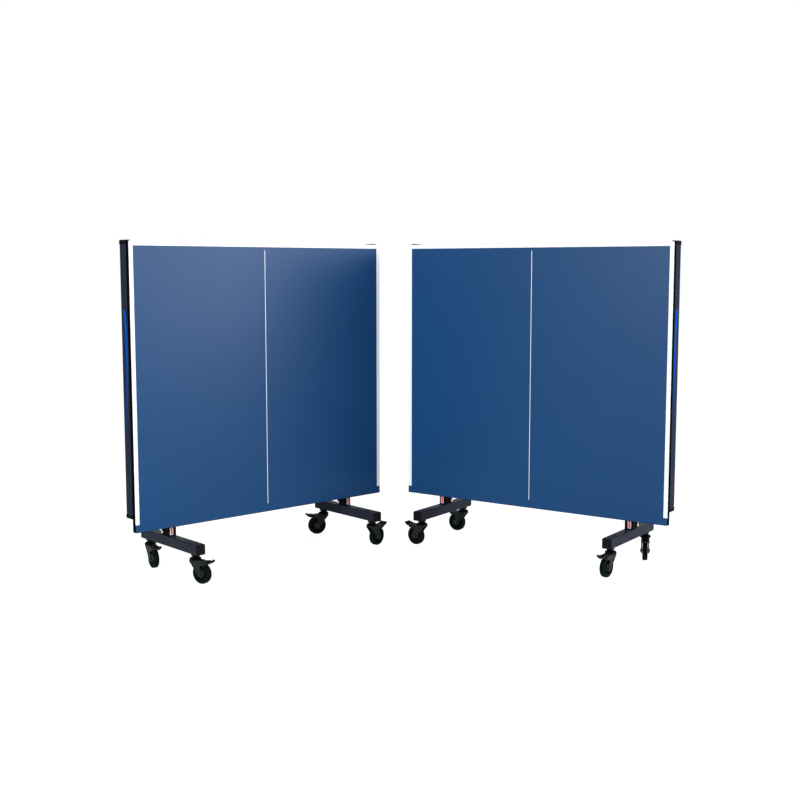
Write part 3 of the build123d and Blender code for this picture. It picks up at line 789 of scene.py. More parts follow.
def make_end_apron():
    """The rail along the end of the board."""
    make_channel("end_apron", *half_span("end_apron"), "Z", -1, "X", "end_apron")


def make_apron_caps():
    """Moulded caps: one at the lower end of each side rail and one at each corner of the end."""
    level = middle_of(*half_span("board")).z
    for sign, label in PAIR:
        low, high = half_span("apron_caps", lambda p: p.x * sign > 0 and p.z < level)
        sunk = "Z", -1, 0.004, 0.004
        cap = moulding(f"lower_cap_{label}", low, high, 0.0018, sunk=sunk, segments=3)
        settle_in_halves(cap, "top", "moulded_black", "apron_caps" if sign < 0 else None)
        low, high = half_span("apron_caps", lambda p: p.x * sign > 0 and p.z > level)
        outer = face_at(sign, low, high)
        corner = "Y", 0.007, 6, lambda p: abs(p.x - outer) < mm and abs(p.z - high.z) < mm
        sunk = "Y", 1, 0.003, 0.0012
        cap = moulding(f"corner_cap_{label}", low, high, 0.0015, corner, sunk, 3)
        settle_in_halves(cap, "top", "moulded_black")


# ---- Frame under the board ----
def square_tube(name, low, high, axis, bend, mouth=0.03):
    """A square tube with rounded corners and hollow mouths."""
    wall = 0.002
    way = "XYZ".index(axis)
    tube = block(name, low, high)
    with editing(tube):
        bevel_along(axis, bend)
        for sign in (-1, 1):
            end = face_at(sign, low, high, way)
            sink_face(axis, sign, wall, mouth, lambda middle: abs(middle[way] - end) < mm)
    return flat_faced(tube)


def screw_head(name, radius, height):
    """A pan head with a sunk socket, standing on Z = 0."""
    shape = ((1, 0), (1, 0.45), (0.86, 0.8), (0.6, 1))
    head = turned(name, [(radius * wide, height * up) for wide, up in shape], 30)
    with editing(head):
        sink_face("Z", 1, radius * 0.18, height * 0.5, lambda middle: middle.z > height * 0.9)
    return smoothed(head, 35)


def make_board_frame():
    """Stringers, cross rails and the screws that hold them to the board."""
    first = 0.06  # from the end of a bar to its first screw
    bars = []
    screws = []
    for low, high in half_solids("board_frame"):
        size = high - low
        axis, way, count = ("Z", 2, 7) if size.z > size.x else ("X", 0, 4)
        bars.append(square_tube("frame_bar", low, high, axis, 0.003))
        middle = middle_of(low, high)
        for index in range(count):
            at = Vector((middle.x, high.y, middle.z))
            at[way] = low[way] + first + (size[way] - 2 * first) * index / (count - 1)
            screws.append(along_y(screw_head("frame_screw", 0.0052, 0.003), at))
    settle_in_halves(joined("board_frame", bars), "top", "frame_charcoal", "board_frame")
    settle_in_halves(joined("frame_screws", screws), "top", "bright_zinc")


# ---- Chassis ----
lock_hole = 0.0051  # radius of the holes that guide the lock pin
crossbar_bend = 0.0025  # corner radius of the crossbars
foot_zone = 0.03  # a post's lowest part, which nothing widens


def make_base_arms():
    """The two base arms with rounded corners and, at each end, a plug and a caster boss."""
    bend = bpy.context.scene.table_chassis.tube_bend
    arms = half_solids("base_arms")
    for label, (low, high) in zip("ab", arms):
        arm = square_tube(f"base_arm_{label}", low, high, "Y", bend, 0.003)
        node = "base_arms" if label == "a" else None
        settle_in_halves(arm, "chassis", "frame_charcoal", node)
    arm_low = arms[0][0]
    for index, (low, high) in enumerate(half_solids("arm_caps")):
        outward = -1 if low.y < 0 else 1
        face = face_at(outward, low, high, 1)
        flange = abs(face - face_at(outward, *arms[0], 1))
        label = f"{'front' if outward < 0 else 'rear'}_{'a' if low.x < 0 else 'b'}"
        near, far = sorted((face, face - outward * flange))
        ends = (low.x, near, arm_low.z), (high.x, far, high.z)
        sunk = "Y", outward, 0.0025, 0.0008
        plug = moulding(f"arm_plug_{label}", *ends, 0.0007, ("Y", bend), sunk)
        node = None if index else "arm_caps"
        settle_in_halves(plug, "chassis", "plug_brown_black", node)
        make_caster_boss(label, low, high, arm_low.z)


def make_caster_boss(label, low, high, arm_bottom):
    """The block under the arm that holds a caster's stem."""
    bottom_low, bottom_high = half_span(
        "arm_caps",
        lambda p: p.z < arm_bottom - mm and low.x < p.x < high.x and low.y < p.y < high.y,
    )
    top = (bottom_high.x, bottom_high.y, arm_bottom + overlap)
    corner, sunk = ("Z", 0.006, 5), ("Z", -1, 0.002, 0.001)
    boss = moulding(f"caster_boss_{label}", bottom_low, top, 0.0006, corner, sunk)
    settle_in_halves(boss, "chassis", "moulded_black")


def headed_tube(name, x_span, y_span, bottom, axle):
    """An upright tube with a round head about an axle."""
    front, back = y_span
    head = arc((axle.y, axle.z), (back - front) / 2, 0, 180, 16)
    outline = [(front, bottom), (back, bottom), *head]
    return round_edges(outline_solid(name, outline, "X", *x_span), 0.0025, 3)


def link_plate(outer, sign, pivot, root):
    """A bracket plate on an outer face that reaches back to a link pivot."""
    thick, eye, depth, drop = 0.005, 0.016, 0.020, 0.032
    front, bottom = root - depth, pivot.z - drop
    nose = arc((pivot.y, pivot.z), eye, -62, 90, 14)
    outline = [(front, bottom), (root, bottom), *nose, (front, pivot.z + eye)]
    ends = sorted((outer, outer + sign * thick))
    return round_edges(outline_solid("link_plate", outline, "X", *ends), 0.0008)


def upright_span(node, sign, level):
    """Width and depth of a post or a leg, measured at its lower end."""
    return half_span(node, lambda p: p.x * sign > 0 and p.z < level)


def make_posts():
    """Posts with their link plates, and on one of them the bracket of the lock pin.

    Each head is a hair slimmer than drawn, so that it turns clear of its saddle's base.
    """
    clear = 0.0002
    arm_top = half_solids("base_arms")[0][1].z
    for sign, label in PAIR:
        low, high = upright_span("posts", sign, arm_top + foot_zone)
        span_x, span_y = (low.x, high.x), (low.y + clear, high.y - clear)
        post = headed_tube(f"post_{label}", span_x, span_y, arm_top, fold_axis)
        outer = face_at(sign, low, high)
        parts = [post, link_plate(outer, sign, low_link, high.y)]
        if sign > 0:
            hole = middle_of(*half_span("lock_pin"))
            flat_faced(drilled(post, lock_hole, (outer, hole.y, hole.z), 0.01))
            parts.append(make_lock_bracket(low, high, hole))
        node = "posts" if sign < 0 else None
        settle_in_halves(joined(f"post_{label}", parts), "chassis", "frame_charcoal", node)


def make_lock_bracket(post_low, post_high, hole):
    """An arm welded to the post's outer face, with a plate that guides the lock pin."""
    low, high = half_span("posts", lambda p: p.x > post_high.x + 0.008)
    half = high.z - hole.z
    top = arc((hole.y, hole.z), half, 0, 180, 14)
    outline = [(hole.y - half, low.z), (hole.y + half, low.z), *top]
    guide = outline_solid("lock_guide", outline, "X", low.x, high.x)
    round_edges(drilled(guide, lock_hole, (low.x, hole.y, hole.z)), 0.0007)
    root_low = (post_high.x - overlap, post_low.y + mm, low.z)
    root = block("lock_root", root_low, (low.x + overlap, high.y, low.z + 0.020))
    return joined("lock_bracket", [guide, round_edges(root, 0.002)])


def make_post_shoes():
    """Moulded shoes with a collar at the foot and a position marker."""
    for (sign, label), (low, high) in zip(PAIR, half_solids("post_shoes")):
        corner, sunk = ("Z", 0.003), ("Z", 1, 0.0028, 0.002)
        shoe = moulding(f"post_shoe_{label}", low, high, 0.0007, corner, sunk)
        settle_in_halves(shoe, "chassis", "moulded_black", "post_shoes" if sign < 0 else None)
        make_marker(label, sign, low, high)


def make_marker(label, sign, low, high):
    """A pale frame with a red core on the shoe's front face."""
    settings = bpy.context.scene.table_chassis
    middle = (low.x + high.x) / 2 + sign * 0.004
    half = settings.marker_width / 2
    bottom, top = settings.marker_bottom, high.z - 0.006
    face = low.y
    pale_low = (middle - half, face - 0.0015, bottom)
    pale_high = (middle + half, face + 0.0008, top)
    corner, sunk = ("Y", 0.0015, 3), ("Y", -1, 0.0035, 0.0008)
    pale = moulding(f"marker_frame_{label}", pale_low, pale_high, 0.0003, corner, sunk)
    settle_in_halves(pale, "chassis", "marker_pale")
    rim = 0.0036
    core_low = (middle - half + rim, face - 0.0012, bottom + rim)
    core_high = (middle + half - rim, face - 0.0004, top - rim)
    core = round_edges(block(f"marker_core_{label}", core_low, core_high), 0.0003, 2, 30)
    settle_in_halves(core, "chassis", "marker_red")


def make_crossbars():
    """The bars between the posts, with a weld bead at each end."""
    spans = half_solids("crossbars")
    bars = [square_tube("crossbar", low, high, "X", crossbar_bend) for low, high in spans]
    settle_in_halves(joined("crossbars", bars), "chassis", "frame_charcoal", "crossbars")
    beads = [weld_bead(end, low, high) for low, high in spans for end in (low.x, high.x)]
    settle_in_halves(joined("crossbar_welds", beads), "chassis", "frame_charcoal")


def weld_bead(end, low, high):
    """A thin painted bead round the end of a crossbar, where it meets a post."""
    bead = 0.0022
    near, far = sorted((end - math.copysign(bead, end), end))
    grow = Vector((0, bead * 0.6, bead * 0.6))
    start = Vector((near, low.y, low.z)) - grow
    piece = block("weld", start, Vector((far, high.y, high.z)) + grow)
    return round_edges(piece, 0.0011, 3)


# ---- Legs ----
def make_legs():
    """Legs with their link plates and end plugs, and the crossbar between them."""
    flange = 0.004
    leg_end = half_span("legs")[0].z
    for sign, label in PAIR:
        low, high = upright_span("legs", sign, leg_end + 0.02)
        span_x, span_y = (low.x, high.x), (low.y, high.y)
        leg = headed_tube(f"leg_{label}", span_x, span_y, leg_end + flange, leg_axis)
        plate = link_plate(face_at(sign, low, high), sign, high_link, high.y)
        node = "legs" if sign < 0 else None
        leg = joined(f"leg_{label}", [leg, plate])
        settle_in_halves(leg, "leg_frame", "frame_charcoal", node)
        ends = (low.x, low.y, leg_end), (high.x, high.y, leg_end + flange)
        plug = moulding(f"leg_plug_{label}", *ends, 0.0008, ("Z", 0.003))
        settle_in_halves(plug, "leg_frame", "moulded_black")
    reach = min(abs(low.x), abs(high.x))
    bar_low, bar_high = half_span(
        "legs", lambda p: abs(p.x) < reach + mm and leg_end + 0.1 < p.z < leg_axis.z - 0.2
    )
    bar_low.x, bar_high.x = -reach, reach
    bar = square_tube("leg_crossbar", bar_low, bar_high, "X", crossbar_bend)
    beads = [weld_bead(end, bar_low, bar_high) for end in (bar_low.x, bar_high.x)]
    bar = joined("leg_crossbar", [bar, *beads])
    settle_in_halves(bar, "leg_frame", "frame_charcoal")


def make_feet():
    """Levelling feet: a ribbed disc with a hex collar on a stud."""
    disc = 0.012
    for label in "ab":
        low, high = half_span(f"foot_{label}")
        middle = middle_of(low, high)
        place = Matrix.Translation((middle.x, middle.y, 0))
        radius = (high.x - low.x) / 2
        shape = ((0.9, 0), (1, 0.002), (1, disc * 0.62), (0.8, disc * 0.92), (0.45, disc))
        pad = turned("foot_pad", [(radius * wide, low.z + up) for wide, up in shape], 60)
        with editing(pad):
            pick_faces(grip_faces(radius, low.z))
            bpy.ops.mesh.inset(thickness=0.0003)
            bpy.ops.transform.resize(value=(0.955, 0.955, 1), center_override=(0, 0, low.z))
        smoothed(pad, 30)
        pad.name = f"foot_{label}"
        body = f"levelling_foot_{label}"
        settle_in_halves(moved(pad, place), body, "moulded_black", f"foot_{label}")
        stud = threaded_stud(f"foot_stud_{label}", 0.006, low.z + disc - 0.001, high.z)
        settle_in_halves(moved(stud, place), body, "bright_zinc")


def grip_faces(radius, bottom):
    """Every third face round the rim of a foot."""

    def test(middle, normal):
        sector = int((math.degrees(math.atan2(middle.y, middle.x)) % 360) / 6)
        upright = abs(normal.z) < 0.2 and math.hypot(middle.x, middle.y) > radius * 0.95
        return upright and sector % 3 == 0 and middle.z > bottom + 0.002

    return test


def threaded_stud(name, radius, bottom, top):
    """A stud with the crests of its thread, and a hex collar at its foot."""
    pitch = 0.00175
    root = radius * 0.87
    collar = turned("collar", [(radius * 1.7, bottom), (radius * 1.7, bottom + 0.006)], 6)
    round_edges(collar, 0.0006, 2, 30)
    stations = [(root, bottom)]
    for turn in range(int((top - bottom - 0.002) / pitch)):
        height = bottom + turn * pitch
        stations += [(root, height + pitch * 0.3), (radius, height + pitch * 0.65)]
        stations.append((root, height + pitch))
    stations.append((radius * 0.8, top))
    return joined(name, [smoothed(turned("thread", stations, 24), 50), collar])


# ---- Pins, links and lock ----
bolt_radius = 0.0135  # the shoe bolts with their washers are wider than this
collared_radius = 0.0115  # the hinge pins, which have collars, are wider than this


def make_pins():
    """Hinge pins, link pins and shoe bolts with turned heads."""
    for node, body in (("chassis_pins", "chassis"), ("leg_pins", "leg_frame")):
        pins = [turned_pin(low, high) for low, high in half_solids(node)]
        settle_in_halves(joined(node, pins), body, "bright_zinc", node)


def round_sizes(low, high):
    """The middle, radius and length of a round piece that lies along X."""
    return middle_of(low, high), (high.z - low.z) / 2, high.x - low.x


def turned_pin(low, high):
    """A pin along X with a chamfered head on each end, and collars where it carries a tube."""
    middle, radius, length = round_sizes(low, high)
    shank, head, head_radius = 0.006, 0.005, radius
    collar = []
    if radius > bolt_radius:
        shank, head_radius = 0.004, 0.0075
    elif radius > collared_radius:
        head_radius = 0.011
        near, far = length / 2 - 0.0228, length / 2 - 0.0202
        collar = [(shank, near), (radius, near), (radius, far), (shank, far)]
    else:
        head = 0.004
    start = [(head_radius * 0.8, 0), (head_radius, head * 0.3), (head_radius, head), (shank, head)]
    start += collar
    stations = start + [(wide, length - along) for wide, along in reversed(start)]
    pin = smoothed(turned("pin", stations, 36), 30)
    return along_x(pin, (low.x, middle.y, middle.z))


def make_bolt_washers():
    """Black washers under the heads of the shoe bolts."""
    washers = []
    for low, high in half_solids("chassis_pins"):
        middle, radius, _ = round_sizes(low, high)
        if radius < bolt_radius:
            continue
        for sign in (-1, 1):
            washer = turned("washer", [(radius * 0.94, 0), (radius, 0.001), (radius, 0.003)], 40)
            at = (face_at(sign, low, high) - sign * 0.005, middle.y, middle.z)
            washers.append(smoothed(along_x(washer, at, -sign), 30))
    settle_in_halves(joined("bolt_washers", washers), "chassis", "moulded_black")


def make_link_bars():
    """Flat bars with an eye at each end."""
    half_width = 0.011
    bars = []
    for low, high in half_solids("link_bars"):
        y = (low.y + high.y) / 2
        radius = low_link.z - low.z
        swing = math.degrees(math.acos(half_width / radius))
        bottom_eye = arc((y, low_link.z), radius, 180 - swing, 360 + swing, 18)
        top_eye = arc((y, high.z - radius), radius, -swing, 180 + swing, 18)
        bar = outline_solid("link_bar", bottom_eye + top_eye, "X", low.x, high.x)
        drilled(bar, 0.0061, (low.x, y, low_link.z), 0.05)
        drilled(bar, 0.0065, (low.x, y, high.z - radius), 0.05)
        bars.append(round_edges(bar, 0.0008))
    settle_in_halves(joined("link_bars", bars), "links", "frame_charcoal", "link_bars")


def make_lock_pin():
    """The pull pin with its grip, which has grooves round it."""
    pin, grip_length = 0.005, 0.020
    low, high = half_span("lock_pin")
    middle, grip, length = round_sizes(low, high)
    at = (high.x, middle.y, middle.z)
    floor = grip * 0.92
    stations = [(grip * 0.7, 0), (grip * 0.93, 0.0015), (grip, 0.004)]
    for groove in range(4):
        start = 0.005 + groove * 0.003
        stations += [(grip, start), (floor, start + 0.0006)]
        stations += [(floor, start + 0.0014), (grip, start + 0.002)]
    stations += [(grip, grip_length - 0.002), (grip * 0.8, grip_length)]
    knob = along_x(smoothed(turned("lock_knob", stations, 40), 30), at, -1)
    settle_in_halves(knob, "lock", "moulded_black")
    rod = turned("lock_pin", [(pin, grip_length), (pin, length - 0.0015), (pin * 0.7, length)], 32)
    settle_in_halves(along_x(smoothed(rod, 30), at, -1), "lock", "bright_zinc", "lock_pin")


def make_hinge_saddles():
    """The saddles keep their drawn shape and take the frame's finish."""
    for side in SIDES:
        node = frame["nodes"][f"{side}_hinge_saddles"]
        node.data.materials.clear()
        node.data.materials.append(paint("frame_charcoal"))


# ---- Casters, made once in a caster's own frame and copied to all eight ----
CASTER_TAGS = [f"{side}_{edge}_{end}" for side in SIDES for edge in EDGES for end in ENDS]
wheel_radius = 0.050
wheel_x = 0.039  # how far the axle trails behind the swivel
wheel_centre = (wheel_x, 0, wheel_radius)
crown_low, crown_high = 0.104, 0.112
crown_front, crown_back = -0.022, 0.030
fork_inner, fork_outer = 0.015, 0.021
hub_disc_radius = 0.0185
bolt_reach = 0.0006  # from the fork to the washer of its axle bolt
pivot_x, pivot_z = 0.062, 0.100  # the pedal's pivot


def settle_on_casters(master, part, finish, node=None, slot=None):
    """Copy a piece made in the caster's frame to all eight casters."""
    for tag in CASTER_TAGS:
        stands_for = f"{tag}_{node}" if node else None
        name = f"{tag}_{master.name}"
        settle(master, name, caster_place(tag), f"{tag}_{part}", finish, stands_for, slot)
    bpy.data.objects.remove(master)


def rounded(rows):
    """Round the corners of an outline, given as rows of two coordinates and a radius."""
    steps = 5
    corners_in_turn = [Vector(row[:2]) for row in rows]
    points = []
    for index, (*_, radius) in enumerate(rows):
        corner = corners_in_turn[index]
        if radius == 0:
            points.append(tuple(corner))
            continue
        before = (corners_in_turn[index - 1] - corner).normalized()
        after = (corners_in_turn[(index + 1) % len(rows)] - corner).normalized()
        half = before.angle(after) / 2
        reach = radius / math.tan(half)
        centre = corner + (before + after).normalized() * radius / math.sin(half)
        start = corner + before * reach - centre
        end = corner + after * reach - centre
        turn = start.angle_signed(end)
        for step in range(steps + 1):
            swing = -turn * step / steps
            cos, sin = math.cos(swing), math.sin(swing)
            x, y = start
            points.append((centre.x + x * cos - y * sin, centre.y + x * sin + y * cos))
    return points


def make_fork_cheeks():
    """The fork's two side plates, with raised bosses round the axle and the pedal pivot."""
    eye = [(*point, 0) for point in arc((wheel_x, wheel_radius), 0.015, 205, 393, 18)]
    front = [(crown_front, crown_high, 0.002), (crown_front, crown_low, 0.003)]
    trail = [(0.032, 0.088, 0.010), (0.072, 0.092, 0.004), (0.078, 0.100, 0.004)]
    back = [(0.066, 0.108, 0.006), (crown_back, crown_high, 0.006)]
    outline = [*front, (-0.008, 0.088, 0.012), *eye, *trail, *back]
    axle_boss = "axle_boss", [(0.0115, 0), (0.0115, 0.0017), (0.0107, 0.0023)], 40
    pivot_boss = "pivot_boss", [(0.0055, 0), (0.0055, 0.0015), (0.0048, 0.0020)], 28
    parts = []
    for sign in (-1, 1):
        ends = sorted((sign * fork_inner, sign * fork_outer))
        cheek = outline_solid("cheek", rounded(outline), "Y", *ends)
        with editing(cheek):
            sink_face("Y", sign, 0.003, 0.0010)
        parts.append(round_edges(cheek, 0.0008))
        face = sign * (fork_outer - 0.0015)
        parts.append(along_y(turned(*axle_boss), (wheel_x, face, wheel_radius), sign))
        parts.append(along_y(turned(*pivot_boss), (pivot_x, face, pivot_z), sign))
    return parts


def make_race():
    """The black dome over the crown that holds the swivel bearing."""
    shape = (
        (0.0262, -0.001), (0.0278, 0.0005), (0.0280, 0.0045), (0.0272, 0.0072), (0.0250, 0.0094),
        (0.0215, 0.0106), (0.0170, 0.0112), (0.0158, 0.0122), (0.0152, 0.0152),
    )
    race = turned("race", [(radius, crown_high + rise) for radius, rise in shape], 64)
    settle_on_casters(smoothed(race, 40), "caster", "moulded_black")


def make_forks():
    """Fork, race and stem, with a hex-headed axle bolt."""
    cheeks = make_fork_cheeks()
    low, high = (crown_front, -fork_outer, crown_low), (crown_back, fork_outer, crown_high)
    crown = moulding("crown", low, high, 0.0012, ("Z", 0.004), segments=3)
    fork = joined("fork", [*cheeks, crown])
    settle_on_casters(fork, "caster", "caster_grey", "fork")
    make_race()
    collar_low = 0.1272
    high = span("left_outer_front_fork", caster_place("left_outer_front"))[1]
    shape = [(0.0055, collar_low), (0.0055, high.z - 0.001), (0.0045, high.z)]
    stem = turned("stem", shape, 32)
    collar = turned("stem_collar", [(0.0085, collar_low), (0.0085, 0.1276)], 32)
    stems = round_edges(joined("caster_stem", [stem, collar]), 0.0003)
    settle_on_casters(stems, "caster", "bright_zinc")
    heads = []
    for sign in (-1, 1):
        washer = turned("axle_washer", [(0.0088, 0), (0.0088, 0.0010)], 32)
        head = turned("axle_head", [(0.0074, 0), (0.0074, 0.0017), (0.0066, 0.0024)], 6)
        for piece, out in ((washer, bolt_reach), (head, 0.0016)):
            at = (wheel_x, sign * (fork_outer + out), wheel_radius)
            heads.append(along_y(piece, at, sign))
    axle = turned("axle", [(0.004, 0), (0.004, 2 * fork_outer)], 24)
    heads.append(along_y(axle, (wheel_x, -fork_outer, wheel_radius)))
    bolts = round_edges(joined("axle_bolt", heads), 0.0003)
    settle_on_casters(bolts, "caster", "blackened_steel")


def make_tyre():
    """A tyre with rounded shoulders and two fine grooves."""
    shoulder = bpy.context.scene.table_casters.shoulder
    outer, half, seat, depth = wheel_radius, 0.013, 0.037, 0.0007
    right = arc((outer - shoulder, half - shoulder), shoulder, 90, 0, 8)
    left = arc((outer - shoulder, shoulder - half), shoulder, 0, -90, 8)
    groove = [(outer, 0.0035), (outer - depth, 0.003), (outer - depth, 0.0022), (outer, 0.0017)]
    side = [(seat + 0.003, half), (seat + 0.004, half + 0.0006), (seat + 0.0055, half)]
    section = [(seat, half - 0.001), *side, *right, *groove]
    section += [*mirrored(groove), *left, *mirrored(side), (seat, 0.001 - half)]
    tyre = smoothed(spun_ring("tyre", section, 96), 35)
    settle_on_casters(along_y(tyre, wheel_centre), "roller", "tyre_rubber")


def make_wheel_core():
    """The wheel's rim and web with six ribs on each side, black like the tyre."""
    upper = [(0.0042, 0.0040), (0.0320, 0.0040), (0.0328, 0.0118), (0.0362, 0.0118)]
    upper.append((0.03695, 0.0110))
    parts = [smoothed(spun_ring("wheel_core", upper + mirrored(upper), 72), 40)]
    for index in range(12):
        turn = Matrix.Rotation(math.pi * index / 6, 4, "Z")
        for low, high in ((0.0035, 0.0095), (-0.0095, -0.0035)):
            rib = block("rib", (hub_disc_radius - overlap, -0.0012, low), (0.0327, 0.0012, high))
            parts.append(moved(round_edges(rib, 0.0005, 1, 30), turn))
    core = along_y(joined("wheel_core", parts), wheel_centre)
    settle_on_casters(core, "roller", "tyre_rubber", "wheel", "fork_plastic")


def make_hub_discs():
    """The paler disc on each side of the wheel, sunk round its middle."""
    disc, face = hub_disc_radius, fork_inner - 0.0005
    sunk = face - 0.0008
    upper = [(disc, 0.0035), (disc, face - 0.0012), (disc - 0.0012, face), (disc - 0.003, face)]
    upper += [(disc - 0.0036, sunk), (0.0122, sunk), (0.0116, face), (0.0042, face)]
    hub = smoothed(spun_ring("hub", mirrored(upper) + upper, 64), 35)
    settle_on_casters(along_y(hub, wheel_centre), "roller", "hub_grey")


def pedal_solid(name, half, rows):
    """A solid across the pedal, from rows of X and Z off the pivot and a corner's radius."""
    outline = [(pivot_x + along, pivot_z + up, radius) for along, up, radius in rows]
    return outline_solid(name, rounded(outline), "Y", -half, half)


def make_pedals():
    """The brake pedal: a grey lever between the cheeks under a wide black toe."""
    ridge = bpy.context.scene.table_casters.ridge
    half = fork_inner - 0.0006
    lever = (
        (-0.016, 0.005, 0.0015), (0, -0.004, 0.004), (0.022, -0.002, 0.003),
        (0.025, 0.014, 0.003), (0.008, 0.014, 0.003), (-0.016, 0.010, 0.0015),
    )
    shelf = (
        (0.0205, -0.001, 0.002), (0.028, 0.0005, 0.004), (0.0395, 0.0105, 0.0012),
        (0.0395, 0.0135, 0.0012), (0.027, 0.0085, 0.004), (0.0205, 0.0085, 0.001),
    )
    toe = (
        (0.0205, 0.008, 0.001), (0.027, 0.008, 0.003), (0.0395, 0.013, 0.002),
        (0.042, 0.012, 0.0015), (0.042, 0.019, 0.0022), (0.037, 0.019, 0.002),
        (0.033, 0.016, 0.004), (0.0205, 0.014, 0.003),
    )
    parts = [round_edges(pedal_solid("lever", half, lever), 0.001)]
    parts.append(round_edges(pedal_solid("shelf", 0.019, shelf), 0.0008))
    pivot = turned("pivot", [(0.003, -fork_outer - 0.001), (0.003, fork_outer + 0.001)], 24)
    parts.append(along_y(pivot, (pivot_x, 0, pivot_z)))
    settle_on_casters(joined("pedal_lever", parts), "brake", "caster_grey")
    toe_half = 0.020
    toe = pedal_solid("toe", toe_half, toe)
    with editing(toe):
        pick_edges(lambda middle, way: abs(way.y) < 0.5 and abs(abs(middle.y) - toe_half) < mm)
        bpy.ops.mesh.bevel(offset=0.0015, segments=3, affect="EDGES")
    parts = [smoothed(toe, 35)]
    for index in range(4):
        start = pivot_x + 0.0075 + index * 0.004
        low = (start, -half + 0.002, pivot_z + 0.012)
        high = (start + 0.002, half - 0.002, pivot_z + 0.014 + ridge)
        parts.append(round_edges(block("ridge", low, high), 0.0005, 2, 30))
    settle_on_casters(joined("pedal", parts), "brake", "moulded_black", "pedal")


# ---- Stage ----
def camera_rays(tree):
    """A node whose value is one where a camera, mirror or glass ray lands, else zero."""
    path = add_node(tree, "LightPath")
    source, output = path, "Is Camera Ray"
    for name in ("Is Glossy Ray", "Is Transmission Ray"):
        either = add_node(tree, "Math")
        either.operation = "MAXIMUM"
        wire(tree, (source, output, either, 0), (path, name, either, 1))
        source, output = either, "Value"
    return source


def make_floor():
    """A plain pale floor that reads as white and keeps the table's shadow."""
    add = bpy.ops.mesh.primitive_plane_add
    floor = started("floor", add, size=60, location=(0, 0, -0.0005))
    bpy.ops.object.transform_apply(location=True, rotation=False, scale=False)
    material = bpy.data.materials.new("pale_floor")
    material.use_nodes = True
    tree = material.node_tree
    tree.nodes.remove(tree.nodes["Principled BSDF"])
    plain = add_node(tree, "BsdfDiffuse", Color=(0.8, 0.8, 0.8, 1))
    shaded = add_node(tree, "BsdfDiffuse", Color=(0.4, 0.4, 0.4, 1))
    glow = add_node(tree, "Emission", Strength=0.85)
    seen = add_node(tree, "AddShader")
    choice = add_node(tree, "MixShader")
    wire(
        tree,
        (shaded, "BSDF", seen, 0),
        (glow, "Emission", seen, 1),
        (camera_rays(tree), "Value", choice, "Fac"),
        (plain, "BSDF", choice, 1),
        (seen, "Shader", choice, 2),
        (choice, "Shader", tree.nodes["Material Output"], "Surface"),
    )
    floor.data.materials.append(material)


def make_room():
    """Soft light from all round, with white behind everything."""
    world = bpy.data.worlds.new("room")
    bpy.context.scene.world = world
    world.use_nodes = True
    tree = world.node_tree
    light = tree.nodes["Background"]
    light.inputs["Color"].default_value = (1, 1, 1, 1)
    light.inputs["Strength"].default_value = bpy.context.scene.table_stage.room_light
    white = add_node(tree, "Background", Color=(1, 1, 1, 1), Strength=1.0)
    choice = add_node(tree, "MixShader")
    wire(
        tree,
        (camera_rays(tree), "Value", choice, "Fac"),
        (light, "Background", choice, 1),
        (white, "Background", choice, 2),
        (choice, "Shader", tree.nodes["World Output"], "Surface"),
    )


def make_softboxes():
    """Two large softboxes, each placed where its own board shows it as a soft sheen."""
    settings = bpy.context.scene.table_stage
    make_softbox("softbox_left", (-4.05, -4.95, 2.6), (2.6, 2.6), settings.left_power)
    make_softbox("softbox_right", (5.7, -1.45, 2.0), (3.4, 2.4), settings.right_power)


def make_softbox(name, place, size, power):
    """A rectangular lamp that faces the middle of the table."""
    aim = Vector((0, 0, 0.9))  # the middle of the table
    lamp = started(name, bpy.ops.object.light_add, type="AREA", location=place)
    lamp.rotation_euler = (aim - Vector(place)).to_track_quat("-Z", "Y").to_euler()
    lamp.data.shape = "RECTANGLE"
    lamp.data.size, lamp.data.size_y = size
    lamp.data.energy = power


def make_camera():
    """The main camera at eye height, pitched down a little."""
    settings = bpy.context.scene.table_stage
    place = (settings.eye_shift, -settings.eye_distance, settings.eye_height)
    turn = (math.pi / 2 - settings.eye_pitch, 0, 0)
    camera = started("main_camera", bpy.ops.object.camera_add, location=place, rotation=turn)
    camera.data.lens = settings.lens
    camera.data.clip_end = 200
    bpy.context.scene.camera = camera
    bpy.context.scene.view_settings.view_transform = "Standard"


# ---- Operators ----
class TABLE_OT_boards(bpy.types.Operator):
    """Make the playing boards with their edge bands, backs and lines"""

    bl_idname = "table.make_boards"
    bl_label = "Boards"

    def execute(self, context):
        make_panels()
        make_lines()
        return {"FINISHED"}


class TABLE_OT_rails(bpy.types.Operator):
    """Make the apron rails with their stripes and moulded caps"""

    bl_idname = "table.make_rails"
    bl_label = "Apron rails"

    def execute(self, context):
        make_side_aprons()
        make_end_apron()
        make_apron_caps()
        return {"FINISHED"}


class TABLE_OT_board_frame(bpy.types.Operator):
    """Make the steel frame under the boards and finish the hinge saddles"""

    bl_idname = "table.make_board_frame"
    bl_label = "Board frame"

    def execute(self, context):
        make_board_frame()
        make_hinge_saddles()
        return {"FINISHED"}


class TABLE_OT_base_arms(bpy.types.Operator):
    """Make the base arms with their end plugs and caster bosses"""

    bl_idname = "table.make_base_arms"
    bl_label = "Base arms"

    def execute(self, context):
        make_base_arms()
        return {"FINISHED"}


class TABLE_OT_posts(bpy.types.Operator):
    """Make the posts, their shoes and markers, and the crossbars"""

    bl_idname = "table.make_posts"
    bl_label = "Posts"

    def execute(self, context):
        make_posts()
        make_post_shoes()
        make_crossbars()
        return {"FINISHED"}


class TABLE_OT_legs(bpy.types.Operator):
    """Make the folding legs and their levelling feet"""

    bl_idname = "table.make_legs"
    bl_label = "Legs"

    def execute(self, context):
        make_legs()
        make_feet()
        return {"FINISHED"}


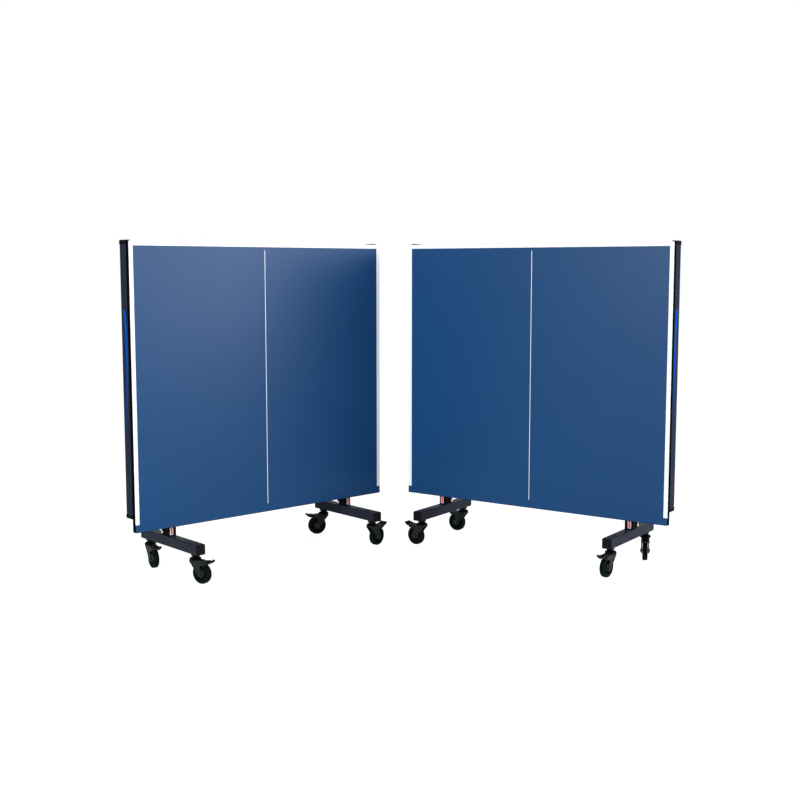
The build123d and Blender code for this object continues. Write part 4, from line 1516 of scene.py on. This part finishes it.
class TABLE_OT_linkage(bpy.types.Operator):
    """Make the pins, washers, link bars and lock pins"""

    bl_idname = "table.make_linkage"
    bl_label = "Linkage"

    def execute(self, context):
        make_pins()
        make_bolt_washers()
        make_link_bars()
        make_lock_pin()
        return {"FINISHED"}


class TABLE_OT_casters(bpy.types.Operator):
    """Make the eight swivel casters with their wheels and brake pedals"""

    bl_idname = "table.make_casters"
    bl_label = "Casters"

    def execute(self, context):
        make_forks()
        make_tyre()
        make_wheel_core()
        make_hub_discs()
        make_pedals()
        return {"FINISHED"}


class TABLE_OT_stage(bpy.types.Operator):
    """Set out the floor, the lights and the camera"""

    bl_idname = "table.make_stage"
    bl_label = "Stage"

    def execute(self, context):
        make_floor()
        make_room()
        make_softboxes()
        make_camera()
        return {"FINISHED"}


OPERATORS = (
    TABLE_OT_boards,
    TABLE_OT_rails,
    TABLE_OT_board_frame,
    TABLE_OT_base_arms,
    TABLE_OT_posts,
    TABLE_OT_legs,
    TABLE_OT_linkage,
    TABLE_OT_casters,
    TABLE_OT_stage,
)


class TABLE_PT_builder(bpy.types.Panel):
    """Sizes, colours and builders of the table"""

    bl_label = "Table tennis table"
    bl_idname = "TABLE_PT_builder"
    bl_space_type = "VIEW_3D"
    bl_region_type = "UI"
    bl_category = "Table"

    def draw(self, context):
        for operator in OPERATORS:
            self.layout.operator(operator.bl_idname)
        for name, group in SETTINGS.items():
            box = self.layout.box()
            for field in group.__annotations__:
                box.prop(getattr(context.scene, name), field)


def register():
    for settings in SETTINGS.values():
        bpy.utils.register_class(settings)
    for name, settings in SETTINGS.items():
        setattr(bpy.types.Scene, name, PointerProperty(type=settings))
    for shown in (*OPERATORS, TABLE_PT_builder):
        bpy.utils.register_class(shown)


def unregister():
    for shown in (TABLE_PT_builder, *reversed(OPERATORS)):
        bpy.utils.unregister_class(shown)
    for name in SETTINGS:
        delattr(bpy.types.Scene, name)
    for settings in reversed(SETTINGS.values()):
        bpy.utils.unregister_class(settings)


def main():
    register()
    for operator in OPERATORS:
        group, name = operator.bl_idname.split(".")
        getattr(getattr(bpy.ops, group), name)()


if __name__ == "__main__":
    main()
